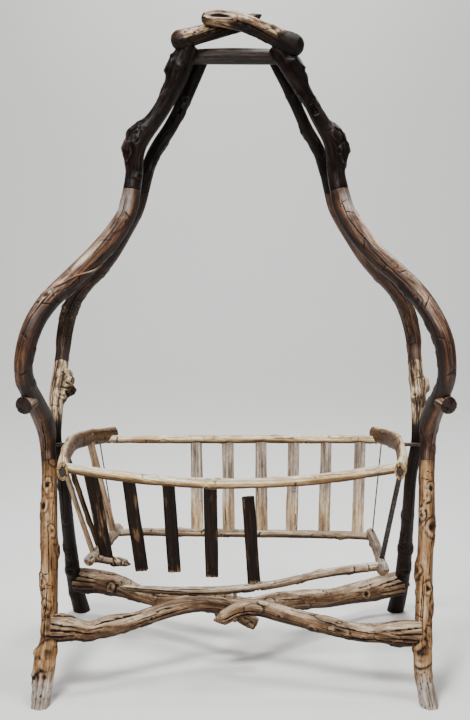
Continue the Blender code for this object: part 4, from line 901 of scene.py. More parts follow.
def dress_leg(leg, path, front, side, hand, splice):
    def at(height):
        return path.length_at(Z, height)

    low = at(0.095) if front else 0.0
    high = splice if front else at(0.56)
    leg.random_checks(12, 0.0007, 0.0022, 0.07, low, high)
    leg.random_cross_checks(12, 0.0008, 0.0020, low, high)
    if not front:
        leg.random_knots(8, 0.011, 0.0040)
        # painted light on the lit upper stretch, and painted shadow over the stretch below it
        leg.stain_and_shade(at(0.574), splice + 0.1, -1.0, 0.020)
        leg.bleach_and_highlight(0.95, -0.9, 0.3, (0, -1, 0.6), (at(0.585), splice + 0.1))
        leg.stain_and_shade(0.0, at(0.56), 0.35, 0.02)
        leg.knot(at(0.62), 0.7 * -hand, 0.013, 0.006, 0.003)
        # Each lump of the burl: its height, its angle, its size and how far it stands out.
        burl = ((0.652, 1.55, 0.018, 0.019), (0.672, 1.45, 0.012, 0.013),
                (0.634, 1.60, 0.011, 0.011), (0.661, 1.10, 0.009, 0.009),
                (0.642, 1.95, 0.011, 0.012), (0.620, 1.50, 0.009, 0.006))
        swell, lumps = (1.0, burl) if side == "left" else (0.7, burl[:1])
        for height, angle, size, rise in lumps:
            leg.knot(at(height), angle, size, rise * swell, 0.001, 1.1, 0.3)
        leg.knot(at(0.148), 0.1 * hand, 0.016, 0.008, 0.005, 1.1)
        leg.crack(at(0.30), at(0.52), 0.3 * hand, 0.0010, 0.0030, 0.2)
        leg.cross_check(at(0.655), -0.2, 0.9, 0.0011, 0.0030, 0.5)
        leg.cross_check(at(0.600), 0.1, 0.9, 0.0010, 0.0026, -0.4)
        return
    leg.random_flakes(12, 0.009, 0.0020)
    leg.hew(at(0.075), 0.0022)
    # painted light down the front, a whitened grey foot, painted shade on the sides and back, and
    # a darker top under the arch
    leg.bleach_and_highlight(0.60, 0.45, 1.00, (-0.35, -1, 0.5))
    leg.grey_weather_and_sheen(0.85, -2.5, -2.0, (0, -1, 0.6), (-0.05, at(0.052)))
    leg.stain_and_shade(-0.05, at(0.048), -0.7, 0.012)
    leg.stain_and_shade(at(0.09), splice + 0.1, 1.0, 0.03, math.pi, 2.1)
    leg.stain_and_shade(splice - 0.010, splice + 0.1, 0.45, 0.012)
    for height, angle, size, rise, pit in LEG_KNOTS[side]:
        leg.knot(at(height), angle, size * 1.15, rise * 1.35, pit * 1.6, 1.7, 0.95)
    for k, angle in enumerate((-0.75, 0.15, 0.75)):
        leg.crack(at(0.15 + 0.10 * k), at(0.25 + 0.10 * k), angle + 0.2 * hand, 0.0010, 0.0034,
                  0.25)
    leg.crack(at(0.11), at(0.24), -0.35, 0.0010, 0.0034, 0.2)


def dress_arch(arch, path, front, side, hand, splice):
    def at(height):
        return path.length_at(Z, height)

    arch.random_checks(16, 0.0008, 0.0024, 0.09)
    arch.random_cross_checks(10, 0.0008, 0.0022)
    arch.random_knots(6, 0.010, 0.0028)
    arch.random_flakes(18, 0.010, 0.0018)
    if front:
        # painted light on the top, painted grey sheen and glints towards the elbow, painted shade
        # on the inner underside, and a dark band above the branch stub
        arch.bleach_and_highlight(0.95, 0.50, 0.95, (0, -0.30, 1.0))
        arch.grey_weather_and_sheen(0.75, 0.40, 0.80, (0.25 * hand, -0.55, 0.8), (at(1.09), at(ELBOW)))
        arch.grey_weather_and_sheen(0.30, 0.70, 1.05, (0.5 * hand, -0.5, 0.8), (at(0.92), at(1.09)))
        arch.stain_and_shade(splice - 0.1, at(ELBOW), 1.2, 0.02, -2.0 * hand, 1.50)
        arch.stain_and_shade(at(0.671), at(0.716), 0.95, 0.010)
        arch.stain_and_shade(at(0.57), at(0.90), 0.30, 0.05)
        arch.knot(at(0.93), -1.5 * hand, 0.014, 0.004, 0.001)
        arch.knot(at(0.895), -0.5, 0.013, 0.004, 0.002, 1.4, 0.9)
        for height, angle, half, slope in ARCH_CHECKS:
            arch.cross_check(at(height), angle, half, 0.0012, 0.0036, slope)
        arch.crack(at(0.76), at(0.90), 0.6 * hand, 0.0013, 0.0040, 0.3)
        arch.crack(at(0.91), at(1.03), -0.3 * hand, 0.0012, 0.0036, 0.3)
        arch.crack(at(0.99), at(1.13), 0.2 * hand, 0.0012, 0.0036, -0.3)
        arch.crack(at(0.50), at(0.62), 0.2 * hand, 0.0011, 0.0034, 0.2)
        return
    # painted light on the top
    arch.bleach_and_highlight(0.25, 0.65, 1.1, (0, -0.35, 1.0))
    if side == "right":
        arch.stain_and_shade(splice - 0.1, at(ELBOW), 0.30, 0.02)
    else:
        arch.knot(at(0.845), -0.6, 0.010, 0.006, 0.001, 1.0, 0.2)
    arch.crack(at(0.80), at(0.95), 0.1 * hand, 0.0012, 0.0036, 0.3)


def dress_rafter(rafter, path, front, side, hand, splice):
    def at(height):
        return path.length_at(Z, height)

    outer = math.pi / 2 * hand
    rafter.random_checks(10, 0.0008, 0.0022, 0.08)
    rafter.random_knots(6, 0.011, 0.0034)
    rafter.random_flakes(8, 0.010, 0.0012)
    # painted light on the upper faces
    rafter.bleach_and_highlight(0.20, 0.60, 1.10, (-0.25, -0.5, 1.0), (at(1.18), at(1.40)))
    if front:
        elbow_knot = 1.268
        rafter.knot(at(elbow_knot), outer, 0.019, 0.012, 0.004, 1.5, 0.6)
        rafter.knot(at(elbow_knot + 0.032), outer * 0.75, 0.012, 0.006, 0.002, 1.4, 0.6)
        rafter.flake(at(elbow_knot - 0.02), outer * 0.5, 0.024, 0.013, 0.0035)
        rafter.flake(at(elbow_knot + 0.015), outer * 0.3, 0.018, 0.010, 0.0025)
        rafter.knot(at(1.462), outer, 0.026, 0.012, 0.001, 1.3, 0.0)
        if side == "right":
            rafter.hollow(at(1.355), -0.1, 0.015, 0.008, 0.006, True)
    elif side == "left":
        rafter.hollow(at(1.36), 0.2, 0.010, 0.005, 0.004, True)
        # a pale streak on the inner face of the rear left rafter
        rafter.bleach_and_highlight(1.0, 0.55, 0.95, (0.9, -0.5, 0.2), (at(1.19), at(1.29)))


def make_branch_stub(path, side, hand, fineness):
    """The sawn branch end that points forwards and out where a front arch turns in."""
    middle, _, radius = path.read(np.array([path.length_at(Z, FORK_HEIGHT)]))
    fork, thick = middle[0], radius[0]
    points = [fork + (hand * 0.004, 0.006, -0.004), fork + (hand * 0.004, -0.023, 0.002),
              fork + (hand * 0.017, -0.0575, -0.007)]
    stub = Path(points, [thick * 0.74, thick * 0.96, thick * 0.96], 0.008)
    skin = Skin(f"front_{side}_branch_stub", stub, 0.0, stub.length, ("round", "worn"), 88,
                fineness * 0.7, reference=UPWARD, seed=40 + (hand > 0))
    skin.lobes(0.07, 9, 34)
    skin.flutes(0.0009)
    skin.random_checks(10, 0.0007, 0.0022, 0.05)
    # painted light on the top, and the sawn end darkened
    skin.bleach_and_highlight(1.0, 0.15, 0.70, (0, -0.35, 1))
    skin.shade += 0.9 * skin.on_end
    skin.end_face(0.0028, 9)
    skin.make(finish("arch"), [], "frame")


def make_vine(path):
    """A thin vine that winds down the front left arch from its inner to its outer edge."""
    share = np.linspace(0, 1, 60)
    high, low = path.length_at(Z, 0.995), path.length_at(Z, 0.890)
    middle, way, radius = path.read(high + (low - high) * share)
    across = np.array(FRONTWARD) - way * (way @ FRONTWARD)[:, None]
    across /= np.linalg.norm(across, axis=1)[:, None]
    angle = (1.35 - 2.5 * share + 0.10 * np.sin(11 * share))[:, None]
    outward = across * np.cos(angle) + np.cross(way, across) * np.sin(angle)
    vine = Path(middle + outward * (radius + 0.0012)[:, None], [0.0026] * 60, 0.004, 0.002)
    skin = Skin("front_left_vine", vine, 0.0, vine.length, ("pointed", "pointed"), 20, 0.002,
                seed=95)
    skin.lobes(0.25, 30, 90)
    # painted light on the top
    skin.bleach_and_highlight(0.9, 0.0, 0.6)
    skin.make(finish("arch"), [], "frame")


# ---------------------------------------------------------------- crown
UNDER = math.pi / 2      # the angle of the underside on a log whose path runs along +X


def make_crown(fineness):
    skin = bare_log("crown_log_left", "crown_left_log", X, (0.031, 0.012), (0.030, 0.003),
                    ("bulb", "pointed"), 96, fineness, 51, blur=0.008)
    end = skin.full_length
    skin.lobes(0.13, 9, 40)
    skin.flutes(0.0016, 4, 90)
    skin.random_checks(20, 0.0010, 0.0034, 0.07)
    skin.random_flakes(10, 0.011, 0.0020)
    # painted light on the top, painted shade on the underside
    skin.bleach_and_highlight(1.0, 0.05, 0.40)
    skin.stain_and_shade(-0.05, 0.004, 0.9, 0.010)
    skin.stain_and_shade(-0.05, end, 1.35, 0.02, UNDER * 0.85, 1.30)
    for at, angle in ((0.014, -0.5), (0.026, -0.9), (0.034, -0.2), (0.050, -0.7)):
        skin.knot(at, angle, 0.006, 0.001, 0.002, 1.3, 1.0)
    skin.stain_and_shade(end - 0.045, end + 0.05, 0.9, 0.012)
    skin.knot(0.07, 0.2, 0.013, 0.004, 0.003, 1.6, 0.9)
    skin.crack(0.04, 0.16, -0.9, 0.0015, 0.0048, 0.4)
    skin.crack(0.03, 0.12, 0.2, 0.0012, 0.0038, -0.2)
    skin.end_face()
    skin.make(finish("crown"), ["crown_log_left"])

    skin = bare_log("crown_log_right", "crown_right_log", X, (0.018, 0.037), (0.017, 0.036),
                    ("bulb", "bulb"), 100, fineness, 52, blur=0.008)
    end = skin.full_length
    skin.lobes(0.12, 9, 38)
    skin.flutes(0.0016, 4, 90)
    skin.random_checks(24, 0.0010, 0.0034, 0.07)
    skin.random_flakes(12, 0.011, 0.0020)
    # painted light on the top and on the front of the near end, painted shade on the underside
    skin.bleach_and_highlight(1.0, 0.15, 0.50)
    skin.bleach_and_highlight(0.8, -0.60, 0.20, (0, -1, 0.4), (0.0, 0.062))
    skin.stain_and_shade(end - 0.040, end + 0.05, 1.6, 0.014)
    skin.stain_and_shade(0.07, end, 1.35, 0.02, UNDER * 0.8, 1.15)
    skin.hollow(0.032, -0.30, 0.034, 0.0095, 0.008)
    skin.knot(0.100, 0.4, 0.013, 0.004, 0.004, 1.5, 1.0)
    skin.knot(end - 0.065, -0.5, 0.013, 0.005, 0.002, 1.4, 0.9)
    skin.crack(0.06, 0.20, 0.15, 0.0015, 0.0048, 0.3)
    skin.crack(0.10, 0.23, -1.0, 0.0013, 0.0038, -0.3)
    skin.end_face()
    skin.make(finish("crown"), ["crown_log_right"])

    skin = bare_log("ridge_rail", "ridge_log", X, (0.020, 0.020), (0.006, 0.006),
                    ("round", "round"), 80, fineness, 53, blur=0.008)
    skin.lobes(0.06, 9, 34)
    skin.flutes(0.0010, 3, 70)
    skin.random_checks(12, 0.0008, 0.0028, 0.10)
    # painted light on the top, painted shade on the underside
    skin.bleach_and_highlight(0.8, 0.68, 0.98)
    skin.stain_and_shade(-0.05, skin.full_length, 0.6, 0.02, UNDER, 0.8)
    skin.make(finish("ridge"), ["ridge_rail"])


# ---------------------------------------------------------------- stretchers
def make_stretcher(face, side, fineness):
    tag = f"{face}_{side}_stretcher"
    low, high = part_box(tag)
    hand = 1 if side == "right" else -1
    leg_end, free_end = (high[X], low[X]) if hand > 0 else (low[X], high[X])
    full, tip = leg_end - hand * 0.030, free_end + hand * 0.008
    span = (min(full, tip), max(full, tip))
    buried, blunt = leg_end + hand * 0.004, free_end + hand * 0.001
    ends = (min(buried, blunt), max(buried, blunt))
    path = measure_path([tag], X, span, ends, flip=hand > 0)

    def at(place):
        return path.length_at(X, place)

    free = {"front_left": "cut", "front_right": "pointed", "rear_left": "worn",
            "rear_right": "worn"}[f"{face}_{side}"]
    skin = Skin(f"{tag}_log", path, 0.0, path.length, ("cut", free), 76, fineness,
                seed=60 + 2 * (face == "rear") + (hand > 0))
    under = -UNDER if hand > 0 else UNDER
    skin.wobble(0.0012)
    skin.lobes(0.12, 8, 40)
    skin.flutes(0.0015, 3.5, 85)
    skin.random_checks(18, 0.0009, 0.0030, 0.09)
    skin.random_knots(7, 0.010, 0.0036)
    skin.random_flakes(18, 0.010, 0.0020)
    # painted light and painted grey sheen on the top, painted shade on the underside
    skin.bleach_and_highlight(0.85, 0.45, 0.90)
    skin.grey_weather_and_sheen(0.22, 0.40, 1.00, (0, -0.3, 1))
    skin.stain_and_shade(-0.05, path.length + 0.05, 1.1, 0.02, under, 1.15)
    for k, angle in enumerate((-0.75, -0.25, 0.30, 0.80)):
        skin.crack(-0.02, 0.060 + 0.012 * (k % 2), angle, 0.0018, 0.0060, -0.35 * angle)
    if face == "front" and side == "left":
        skin.knot(at(-0.205), 0.1, 0.011, 0.0040, 0.003, 1.1, 1.0)
        skin.knot(at(-0.275), -1.2, 0.024, 0.0055, 0.0, 2.0, 0.1)
        skin.crack(at(-0.33), at(-0.22), -0.75, 0.0016, 0.0055, -0.3)
        skin.crack(0.06, 0.16, 0.5, 0.0014, 0.0048, 0.5)
        skin.crack(0.18, 0.34, 0.3, 0.0012, 0.0040, -0.3)
    elif face == "front":
        skin.crack(at(0.0) - 0.11, at(0.0) + 0.04, -0.7, 0.0016, 0.0055, 0.3)
        skin.crack(at(0.0) - 0.07, at(0.0) + 0.05, -0.2, 0.0014, 0.0045, 0.2)
        skin.knot(at(0.245), 0.1, 0.013, 0.0040, 0.003, 2.2, 0.9)
        skin.crack(0.10, 0.24, 0.3, 0.0012, 0.0040, 0.4)
        skin.crack(0.05, 0.19, -0.5, 0.0015, 0.0050, 0.2)
    elif side == "left":
        skin.flake(at(-0.318), 0.0, 0.015, 0.014, 0.0055)
        skin.knot(at(-0.318), 0.0, 0.006, 0.0005, 0.001, 1.0, 0.9)
        skin.stain_and_shade(0.0, 0.045, 0.7, 0.02)
    else:
        skin.knot(at(0.335), 0.1, 0.015, 0.0055, 0.005, 1.2, 1.0)
        skin.stain_and_shade(0.03, 0.075, -0.3, 0.02)
    skin.end_face(0.0022, 6)
    skin.make(finish("stretcher"), [tag])


# ---------------------------------------------------------------- basket
def make_end_log(side, fineness):
    tag = f"basket_end_log_{side}"
    skin = bare_log(tag, f"basket_{side}_end_log", Y, (0.014, 0.022), (0.0, 0.003),
                    ("worn", "worn"), 80, fineness, 70 + (side == "right"), reference=UPWARD,
                    flat=(1.286, 0.778))
    skin.lobes(0.09, 9, 40)
    skin.flutes(0.0010, 4, 90)
    skin.random_checks(14, 0.0007, 0.0024, 0.08)
    skin.random_cross_checks(10, 0.0007, 0.0014)
    skin.random_knots(6, 0.010, 0.0034)
    skin.random_flakes(12, 0.011, 0.0018)
    # painted light on the top; the inner side darkened, with pits in it
    skin.bleach_and_highlight(1.0, 0.10, 0.60, (0, -0.4, 1))
    inner = -UNDER if side == "right" else UNDER
    skin.stain_and_shade(0.045, skin.full_length + 0.05, 1.0, 0.02, inner, 1.25)
    pits = layered(skin.straight * 150, 3, 71)
    skin.dark += 0.8 * soft_step(0.28, 0.42, pits) * (skin.shade > 0.3)
    skin.dark += skin.on_end * soft_step(0.60, 0.45, skin.share) * (skin.length < 0.03)
    skin.end_face(0.0028, 8)
    skin.make(finish("rim"), [tag])


RAILS = (
    # name, finish, seed, sides round it, paleness, length of plain end left out at each end
    ("front_top_rail", "rim", 75, 64, 1.0, 0.030),
    ("rear_top_rail", "rim", 76, 56, 1.0, 0.030),
    ("rear_floor_rail", "floor_rail", 77, 56, 0.55, 0.030),
    ("broken_floor_rail", "floor_rail", 78, 60, 0.9, 0.024),
    ("floor_rail_stub", "floor_rail", 79, 56, 0.6, 0.020),
)


def make_rail(name, wood, seed, sides, paleness, tenon, fineness):
    broken = name == "broken_floor_rail"
    stub = name == "floor_rail_stub"
    insets = (0.010 if broken else tenon, 0.008 if stub else tenon)
    ends = ("pointed" if broken else "cut", "pointed" if stub else "cut")
    skin = bare_log(name, f"{name}_branch", X, insets, (0.0, 0.0), ends, sides, fineness, seed,
                    pitch=0.010)
    skin.lobes(0.09, 8, 50)
    skin.flutes(0.0007, 4, 120)
    skin.random_checks(12, 0.0006, 0.0018, 0.08)
    skin.random_knots(8, 0.007, 0.0028)
    skin.random_flakes(8, 0.008, 0.0012)
    skin.random_cross_checks(16, 0.0018, 0.0034)
    # painted light and painted grey sheen on the top, painted shade on the underside
    skin.bleach_and_highlight(paleness, 0.15, 0.60)
    if wood == "floor_rail":
        skin.grey_weather_and_sheen(0.45, 0.0, 0.9, (0, -0.4, 1))
    else:
        skin.grey_weather_and_sheen(0.25, 0.45, 0.95, (0, -0.2, 1))
    skin.stain_and_shade(-0.05, skin.full_length + 0.05, 1.1, 0.02, UNDER, 1.25)
    if broken:
        skin.crack(0.0, 0.16, -0.5, 0.0012, 0.0040, 0.4)
        skin.crack(0.05, 0.30, -1.3, 0.0010, 0.0030, -0.3)
        skin.random_checks(18, 0.0009, 0.0028, 0.10)
    skin.end_face(0.001, 5)
    skin.make(finish(wood), [name])


def make_floor_end(side, fineness):
    tag = f"floor_end_rail_{side}"
    skin = bare_log(tag, f"floor_{side}_end_log", Y, (0.012, 0.012), (0.004, 0.004),
                    ("round", "round"), 60, fineness, 80 + (side == "right"), blur=0.008,
                    reference=UPWARD)
    skin.lobes(0.12, 10, 50)
    skin.flutes(0.0008, 4, 110)
    skin.random_checks(8, 0.0006, 0.0020, 0.06)
    skin.random_knots(4, 0.008, 0.0030)
    # painted light and painted grey sheen on the top; the middle stretch darkened
    skin.bleach_and_highlight(0.6, 0.0, 0.9)
    skin.grey_weather_and_sheen(0.8, -0.2, 0.8, (0, -0.4, 1))
    skin.stain_and_shade(0.03, skin.full_length - 0.03, 0.45, 0.02)
    skin.end_face(0.002, 6)
    skin.make(finish("floor_rail"), [tag])


def make_slat(name, wood, seed, loose, fineness):
    skin = bare_log(name, f"{name}_board", Z, (0.020, 0.020), (0.001, 0.001), ("cut", "cut"),
                    72, fineness, seed, pitch=0.02, blur=0.02, reference=(1, 0, 0),
                    board=(0.0150, 0.0045))
    skin.wobble(0.0009, 6)
    waist = noise(np.stack([skin.length * 14 + seed, skin.length * 0, skin.angle], 1), seed)
    skin.lift += 0.0011 * waist * np.abs(np.cos(skin.angle))
    skin.flutes(0.00045, 4, 160)
    skin.random_checks(7, 0.0005, 0.0013, 0.10)
    skin.random_knots(1 + seed % 2, 0.006, 0.0010)
    if wood == "dark_slat":
        patches = layered(skin.straight * (22, 85, 85), 4, seed)
        skin.pale += 0.55 * soft_step(0.12, 0.50, patches)
    else:
        end = skin.full_length
        paleness = 0.45 + 0.5 * np.random.default_rng(seed).random()
        # on the front faces: painted light with bleaching on the lower part, grey weathering with
        # painted sheen on the upper part
        skin.bleach_and_highlight(paleness, -0.9, 0.9, (0, -1, 0.3), (-0.1, end * 0.6))
        skin.grey_weather_and_sheen(0.60, -0.9, 0.6, (0, -1, 0.3), (end * 0.35, end + 0.1))
    if loose:
        skin.stain_and_shade(-0.01, 0.006, -1.0, 0.004)
    skin.end_face(0.0012, 3)
    skin.make(finish(wood), [name])


def make_post(name, wood, seed, fineness):
    skin = bare_log(name, f"{name}_branch", Z, (0.016, 0.016), (0.004, 0.004), ("cut", "cut"),
                    48, fineness, seed, pitch=0.02, blur=0.02)
    skin.wobble(0.0010, 8)
    skin.lobes(0.10, 9, 60)
    skin.flutes(0.0006, 4, 130)
    skin.random_checks(6, 0.0005, 0.0014, 0.08)
    skin.random_knots(3, 0.006, 0.0020)
    # painted light on the front faces, painted shade on the right side
    skin.bleach_and_highlight(0.5, 0.2, 1.0, (0, -1, 0.4))
    skin.stain_and_shade(-0.05, skin.full_length + 0.05, 0.5, 0.02, UNDER, 1.0)
    skin.make(finish(wood), [name])


# ---------------------------------------------------------------- ironwork and pegs
def make_rod(name, axis, wood="iron", head=None, sides=28):
    """A straight rod made again from its CAD node.

    The head, if it has one, is (whether it is at the far end, its radius, its length).
    """
    low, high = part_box(name)
    surface = Measured(name)
    measured = (0.30, 0.70)
    cuts = [surface.section(axis, low[axis] + (high[axis] - low[axis]) * s, reach=0.03)
            for s in measured]
    way = cuts[1][0] - cuts[0][0]
    reach = (high[axis] - low[axis]) / way[axis]
    middle = (cuts[0][0] + cuts[1][0]) / 2
    start, end = middle - way * reach / 2, middle + way * reach / 2
    slant = abs(way[axis]) / np.linalg.norm(way)
    radius = math.sqrt(cuts[0][1] * slant / math.pi)
    path = Path([start, middle, end], [radius] * 3, 0.001, 0.001)
    skin = Skin(f"{name}_forged", path, 0.0004, path.length - 0.0004, ("round", "round"),
                sides, 0.0025, reference=FRONTWARD if axis == Z else (0.2, 0.3, 0.93), seed=90)
    if head:
        at_end, wide, thick = head
        off = path.length - skin.length if at_end else skin.length
        cap = np.clip(1 - off / thick, 0, 1)
        swell = (wide - radius) * np.sqrt(1 - (1 - np.clip(cap * 1.6, 0, 1)) ** 2)
        skin.lift += np.where(off < thick, swell, 0) * skin.share
    hammered = 0.0002
    skin.lift += hammered * layered(skin.straight * 300, 2, 91)
    skin.make(finish(wood), [name])


def make_head(name, axis, outward, radius, thick):
    """A fastener whose domed head stands at one end of its shank."""
    low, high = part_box(name)
    middle = (np.array(low) + np.array(high)) / 2
    way = np.zeros(3)
    way[axis] = outward
    tip = middle.copy()
    tip[axis] = high[axis] if outward > 0 else low[axis]
    foot = middle.copy()
    foot[axis] = low[axis] if outward > 0 else high[axis]
    shank_middle, shank_area = Measured(name).section(axis, (tip[axis] + foot[axis]) / 2, 0.03)
    thin = math.sqrt(shank_area / math.pi)
    u, v = [i for i in range(3) if i != axis]
    tip[[u, v]] = shank_middle[[u, v]]
    length = abs(tip[axis] - foot[axis])
    sides = 28
    profile = [(0.0, 0.05), (0.0001, 0.35), (0.0007, 0.65), (0.0016, 0.86), (thick * 0.6, 0.98),
               (thick * 0.85, 1.0), (thick, 0.95), (thick + 0.0003, thin / radius)]
    steps = max(3, int(length / 0.004))
    profile += [(thick + (length - thick) * k / steps, thin / radius)
                for k in range(1, steps + 1)]
    profile.append((length, 0.02))
    mesh, ring, side = grid_mesh(f"{name}_forged", len(profile), sides)
    profile = np.array(profile)
    along, wide = profile[ring, 0], profile[ring, 1] * radius
    angle = TURN * side / sides
    points = tip - way * along[:, None]
    hammered = 1 + 0.04 * layered(
        np.stack([along * 300, np.cos(angle) * 2, np.sin(angle) * 2], 1), 2, 92)
    points[:, u] += wide * hammered * np.cos(angle)
    points[:, v] += wide * hammered * np.sin(angle)
    mesh.vertices.foreach_set("co", np.ascontiguousarray(points, np.float32).ravel())
    finish_mesh(mesh)
    add_piece(f"{name}_forged", mesh, finish("iron"), [name])


# ---------------------------------------------------------------- stage
def make_stage(settings):
    """A pale floor that curves up into a far backdrop, soft lamps and the camera."""
    shape = bmesh.new()
    front, depth, height, half, bend = -12.0, 7.0, 6.5, 12.0, 2.0
    profile = [(front, 0.0), (depth - bend, 0.0)]
    profile += [(depth - bend + bend * math.sin(a), bend - bend * math.cos(a))
                for a in np.linspace(0.1, math.pi / 2, 14)]
    profile.append((depth, height))
    corners = [shape.verts.new((-half, y, z)) for y, z in profile]
    edges = [shape.edges.new(pair) for pair in zip(corners, corners[1:])]
    grown = bmesh.ops.extrude_edge_only(shape, edges=edges)["geom"]
    moved = [item for item in grown if isinstance(item, bmesh.types.BMVert)]
    bmesh.ops.translate(shape, verts=moved, vec=(2 * half, 0, 0))
    bmesh.ops.recalc_face_normals(shape, faces=shape.faces)
    mesh = bpy.data.meshes.new("studio_floor")
    shape.to_mesh(mesh)
    shape.free()
    mesh.shade_smooth()
    mesh.materials.append(stage_material("studio_paper", tuple(settings.floor_colour)))
    add_object("studio_floor", mesh)

    cradle, backdrop = (0, 0, 0.7), (0, depth, 1.4)
    lamps = (
        ("key_lamp", (-0.9, -2.2, 3.3), cradle, 1.0, 150.0),
        ("fill_lamp", (2.4, -2.2, 1.5), cradle, 2.2, 22.0),
        ("top_lamp", (0.2, 0.2, 3.3), cradle, 1.0, 85.0),
        ("back_lamp", (0.8, 2.1, 2.4), cradle, 1.8, 20.0),
        ("backdrop_lamp", (0.0, 3.8, 5.0), backdrop, 2.5, 170.0),
    )
    for name, place, target, size, power in lamps:
        light = bpy.data.lights.new(name, "AREA")
        light.shape = "DISK"
        light.size = size
        light.energy = power * settings.lamp_strength
        lamp = add_object(name, light)
        lamp.location = place
        aim = Vector(target) - Vector(place)
        lamp.rotation_euler = aim.to_track_quat("-Z", "Y").to_euler()

    world = bpy.data.worlds.new("studio_air")
    world.use_nodes = True
    background = world.node_tree.nodes["Background"]
    background.inputs["Color"].default_value = (0.86, 0.88, 0.92, 1)
    background.inputs["Strength"].default_value = 0.27
    bpy.context.scene.world = world

    lens = bpy.data.cameras.new("view_camera")
    lens.lens = settings.camera_lens
    lens.sensor_width = 36.0
    lens.shift_y = settings.camera_shift
    lens.clip_start, lens.clip_end = 0.05, 40.0
    camera = add_object("view_camera", lens)
    camera.location = (0.0, -settings.camera_distance, settings.camera_height)
    camera.rotation_euler = (math.pi / 2, 0, 0)
    bpy.context.scene.camera = camera


# ---------------------------------------------------------------- settings
def colour_setting(name, default):
    return bpy.props.FloatVectorProperty(
        name=name, description=f"Main colour of the {name.lower()}", default=default,
        subtype="COLOR", size=3, min=0.0, max=1.0)


class CradleSettings(bpy.types.PropertyGroup):
    """Sizes and colours that a user may change before the pieces are made."""

    leg_colour: colour_setting("Front legs", (0.265, 0.138, 0.050))
    # near black, the painted shadow on the rear legs, whose lit upper stretch is lightened
    rear_leg_colour: colour_setting("Rear legs", (0.030, 0.016, 0.009))
    arch_colour: colour_setting("Arches", (0.098, 0.046, 0.023))
    rear_arch_colour: colour_setting("Rear left arch", (0.036, 0.019, 0.012))
    rafter_colour: colour_setting("Front rafters", (0.018, 0.011, 0.008))
    rear_rafter_colour: colour_setting("Rear rafters", (0.017, 0.012, 0.009))
    crown_colour: colour_setting("Crown logs", (0.115, 0.062, 0.030))
    ridge_colour: colour_setting("Ridge rail", (0.034, 0.022, 0.015))
    stretcher_colour: colour_setting("Stretchers", (0.205, 0.117, 0.058))
    rim_colour: colour_setting("Top rails and end logs", (0.480, 0.320, 0.145))
    floor_rail_colour: colour_setting("Floor rails", (0.230, 0.140, 0.075))
    pale_slat_colour: colour_setting("Pale slats", (0.330, 0.225, 0.135))
    dark_slat_colour: colour_setting("Dark slats", (0.026, 0.014, 0.008))
    peg_colour: colour_setting("Pegs", (0.190, 0.115, 0.058))
    iron_colour: colour_setting("Ironwork", (0.055, 0.050, 0.047))
    floor_colour: colour_setting("Studio floor", (0.88, 0.87, 0.85))
    fineness: bpy.props.FloatProperty(
        name="Ring spacing", description="Distance between the rings of a log's skin",
        default=0.0023, min=0.001, max=0.02, unit="LENGTH")
    lamp_strength: bpy.props.FloatProperty(
        name="Lamps", description="Strength of the studio lamps", default=1.0, min=0.0,
        max=10.0, subtype="FACTOR")
    camera_lens: bpy.props.FloatProperty(
        name="Lens", description="Focal length of the camera in millimetres", default=57.4,
        min=10.0, max=300.0, subtype="DISTANCE_CAMERA")
    camera_shift: bpy.props.FloatProperty(
        name="Shift", description="Upright shift of the camera's picture", default=-0.2014,
        min=-1.0, max=1.0, subtype="FACTOR")
    camera_distance: bpy.props.FloatProperty(
        name="Distance", description="Camera to the middle of the cradle", default=2.872,
        min=0.5, max=20.0, unit="LENGTH")
    camera_height: bpy.props.FloatProperty(
        name="Height", description="Camera above the floor", default=1.096, min=0.0, max=5.0,
        unit="LENGTH")


# ---------------------------------------------------------------- operators
class CRADLE_OT_stage(bpy.types.Operator):
    """Make the floor, lamps and camera"""

    bl_idname = "cradle.stage"
    bl_label = "Studio"

    def execute(self, context):
        make_stage(context.scene.cradle_settings)
        return {"FINISHED"}


class CRADLE_OT_side_frames(bpy.types.Operator):
    """Make the legs, arches and rafters"""

    bl_idname = "cradle.side_frames"
    bl_label = "Side Frames"

    def execute(self, context):
        for face in ("front", "rear"):
            for side in SIDES:
                make_member(face, side, context.scene.cradle_settings.fineness)
        return {"FINISHED"}


class CRADLE_OT_crown(bpy.types.Operator):
    """Make the crossed crown logs and the ridge rail"""

    bl_idname = "cradle.crown"
    bl_label = "Crown"

    def execute(self, context):
        make_crown(context.scene.cradle_settings.fineness * 0.8)
        return {"FINISHED"}


class CRADLE_OT_stretchers(bpy.types.Operator):
    """Make the four stretchers"""

    bl_idname = "cradle.stretchers"
    bl_label = "Stretchers"

    def execute(self, context):
        for face in ("front", "rear"):
            for side in SIDES:
                make_stretcher(face, side, context.scene.cradle_settings.fineness)
        return {"FINISHED"}


class CRADLE_OT_basket_frame(bpy.types.Operator):
    """Make the basket's end logs, rails and posts"""

    bl_idname = "cradle.basket_frame"
    bl_label = "Basket Frame"

    def execute(self, context):
        fineness = context.scene.cradle_settings.fineness
        for side in SIDES:
            make_end_log(side, fineness)
            make_floor_end(side, fineness)
        for rail in RAILS:
            make_rail(*rail, fineness)
        for name, wood, seed in (("corner_post", "pale_slat", 83), ("end_post", "dark_slat", 84),
                                 ("rear_corner_post", "pale_slat", 85)):
            make_post(name, wood, seed, fineness)
        return {"FINISHED"}


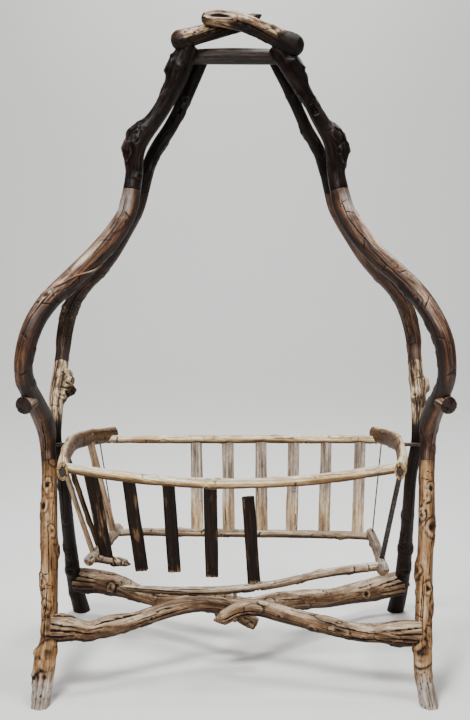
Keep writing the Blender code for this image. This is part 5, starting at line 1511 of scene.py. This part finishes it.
class CRADLE_OT_slats(bpy.types.Operator):
    """Make the slats"""

    bl_idname = "cradle.slats"
    bl_label = "Slats"

    def execute(self, context):
        fineness = context.scene.cradle_settings.fineness
        for number in range(1, 7):
            make_slat(f"rear_slat_{number}", "pale_slat", 100 + number, False, fineness)
        for number in range(1, 5):
            make_slat(f"front_slat_{number}", "dark_slat", 110 + number, number > 1, fineness)
        make_slat("loose_slat", "dark_slat", 116, True, fineness)
        return {"FINISHED"}


class CRADLE_OT_ironwork(bpy.types.Operator):
    """Make the pins, bolts, spikes, nails, ties and pegs"""

    bl_idname = "cradle.ironwork"
    bl_label = "Ironwork"

    def execute(self, context):
        for hand, side in ((-1, "left"), (1, "right")):
            make_rod(f"pivot_pin_{side}", X)
            make_rod(f"tie_wire_{side}", Z, sides=16)
            make_head(f"waist_bolt_{side}", Y, -1, 0.0085, 0.0050)
            make_rod(f"corner_bolt_{side}", Y, head=(False, 0.0085, 0.0042))
            make_head(f"crown_nail_{side}", Z, 1, 0.0060, 0.0025)
            for face in ("front", "rear"):
                make_head(f"{face}_{side}_stretcher_spike", X, hand, 0.0060, 0.0025)
        make_rod("corner_rod", Z)
        make_rod("crown_peg", Y, "peg")
        make_rod("stretcher_peg", Y, "peg")
        return {"FINISHED"}


class CRADLE_PT_panel(bpy.types.Panel):
    """Lists the cradle's operators"""

    bl_label = "Log Cradle"
    bl_idname = "CRADLE_PT_panel"
    bl_space_type = "VIEW_3D"
    bl_region_type = "UI"
    bl_category = "Cradle"

    def draw(self, context):
        for operator in OPERATORS:
            self.layout.operator(operator.bl_idname)
        for name in ("fineness", "lamp_strength", "leg_colour", "arch_colour", "rim_colour"):
            self.layout.prop(context.scene.cradle_settings, name)


OPERATORS = (CRADLE_OT_stage, CRADLE_OT_side_frames, CRADLE_OT_crown, CRADLE_OT_stretchers,
             CRADLE_OT_basket_frame, CRADLE_OT_slats, CRADLE_OT_ironwork)


def register():
    for cls in (CradleSettings, *OPERATORS, CRADLE_PT_panel):
        bpy.utils.register_class(cls)
    bpy.types.Scene.cradle_settings = bpy.props.PointerProperty(type=CradleSettings)


def unregister():
    del bpy.types.Scene.cradle_settings
    for cls in (CRADLE_PT_panel, *reversed(OPERATORS), CradleSettings):
        bpy.utils.unregister_class(cls)


def main():
    register()
    for operator in OPERATORS:
        group, name = operator.bl_idname.split(".")
        getattr(getattr(bpy.ops, group), name)()


if __name__ == "__main__":
    main()
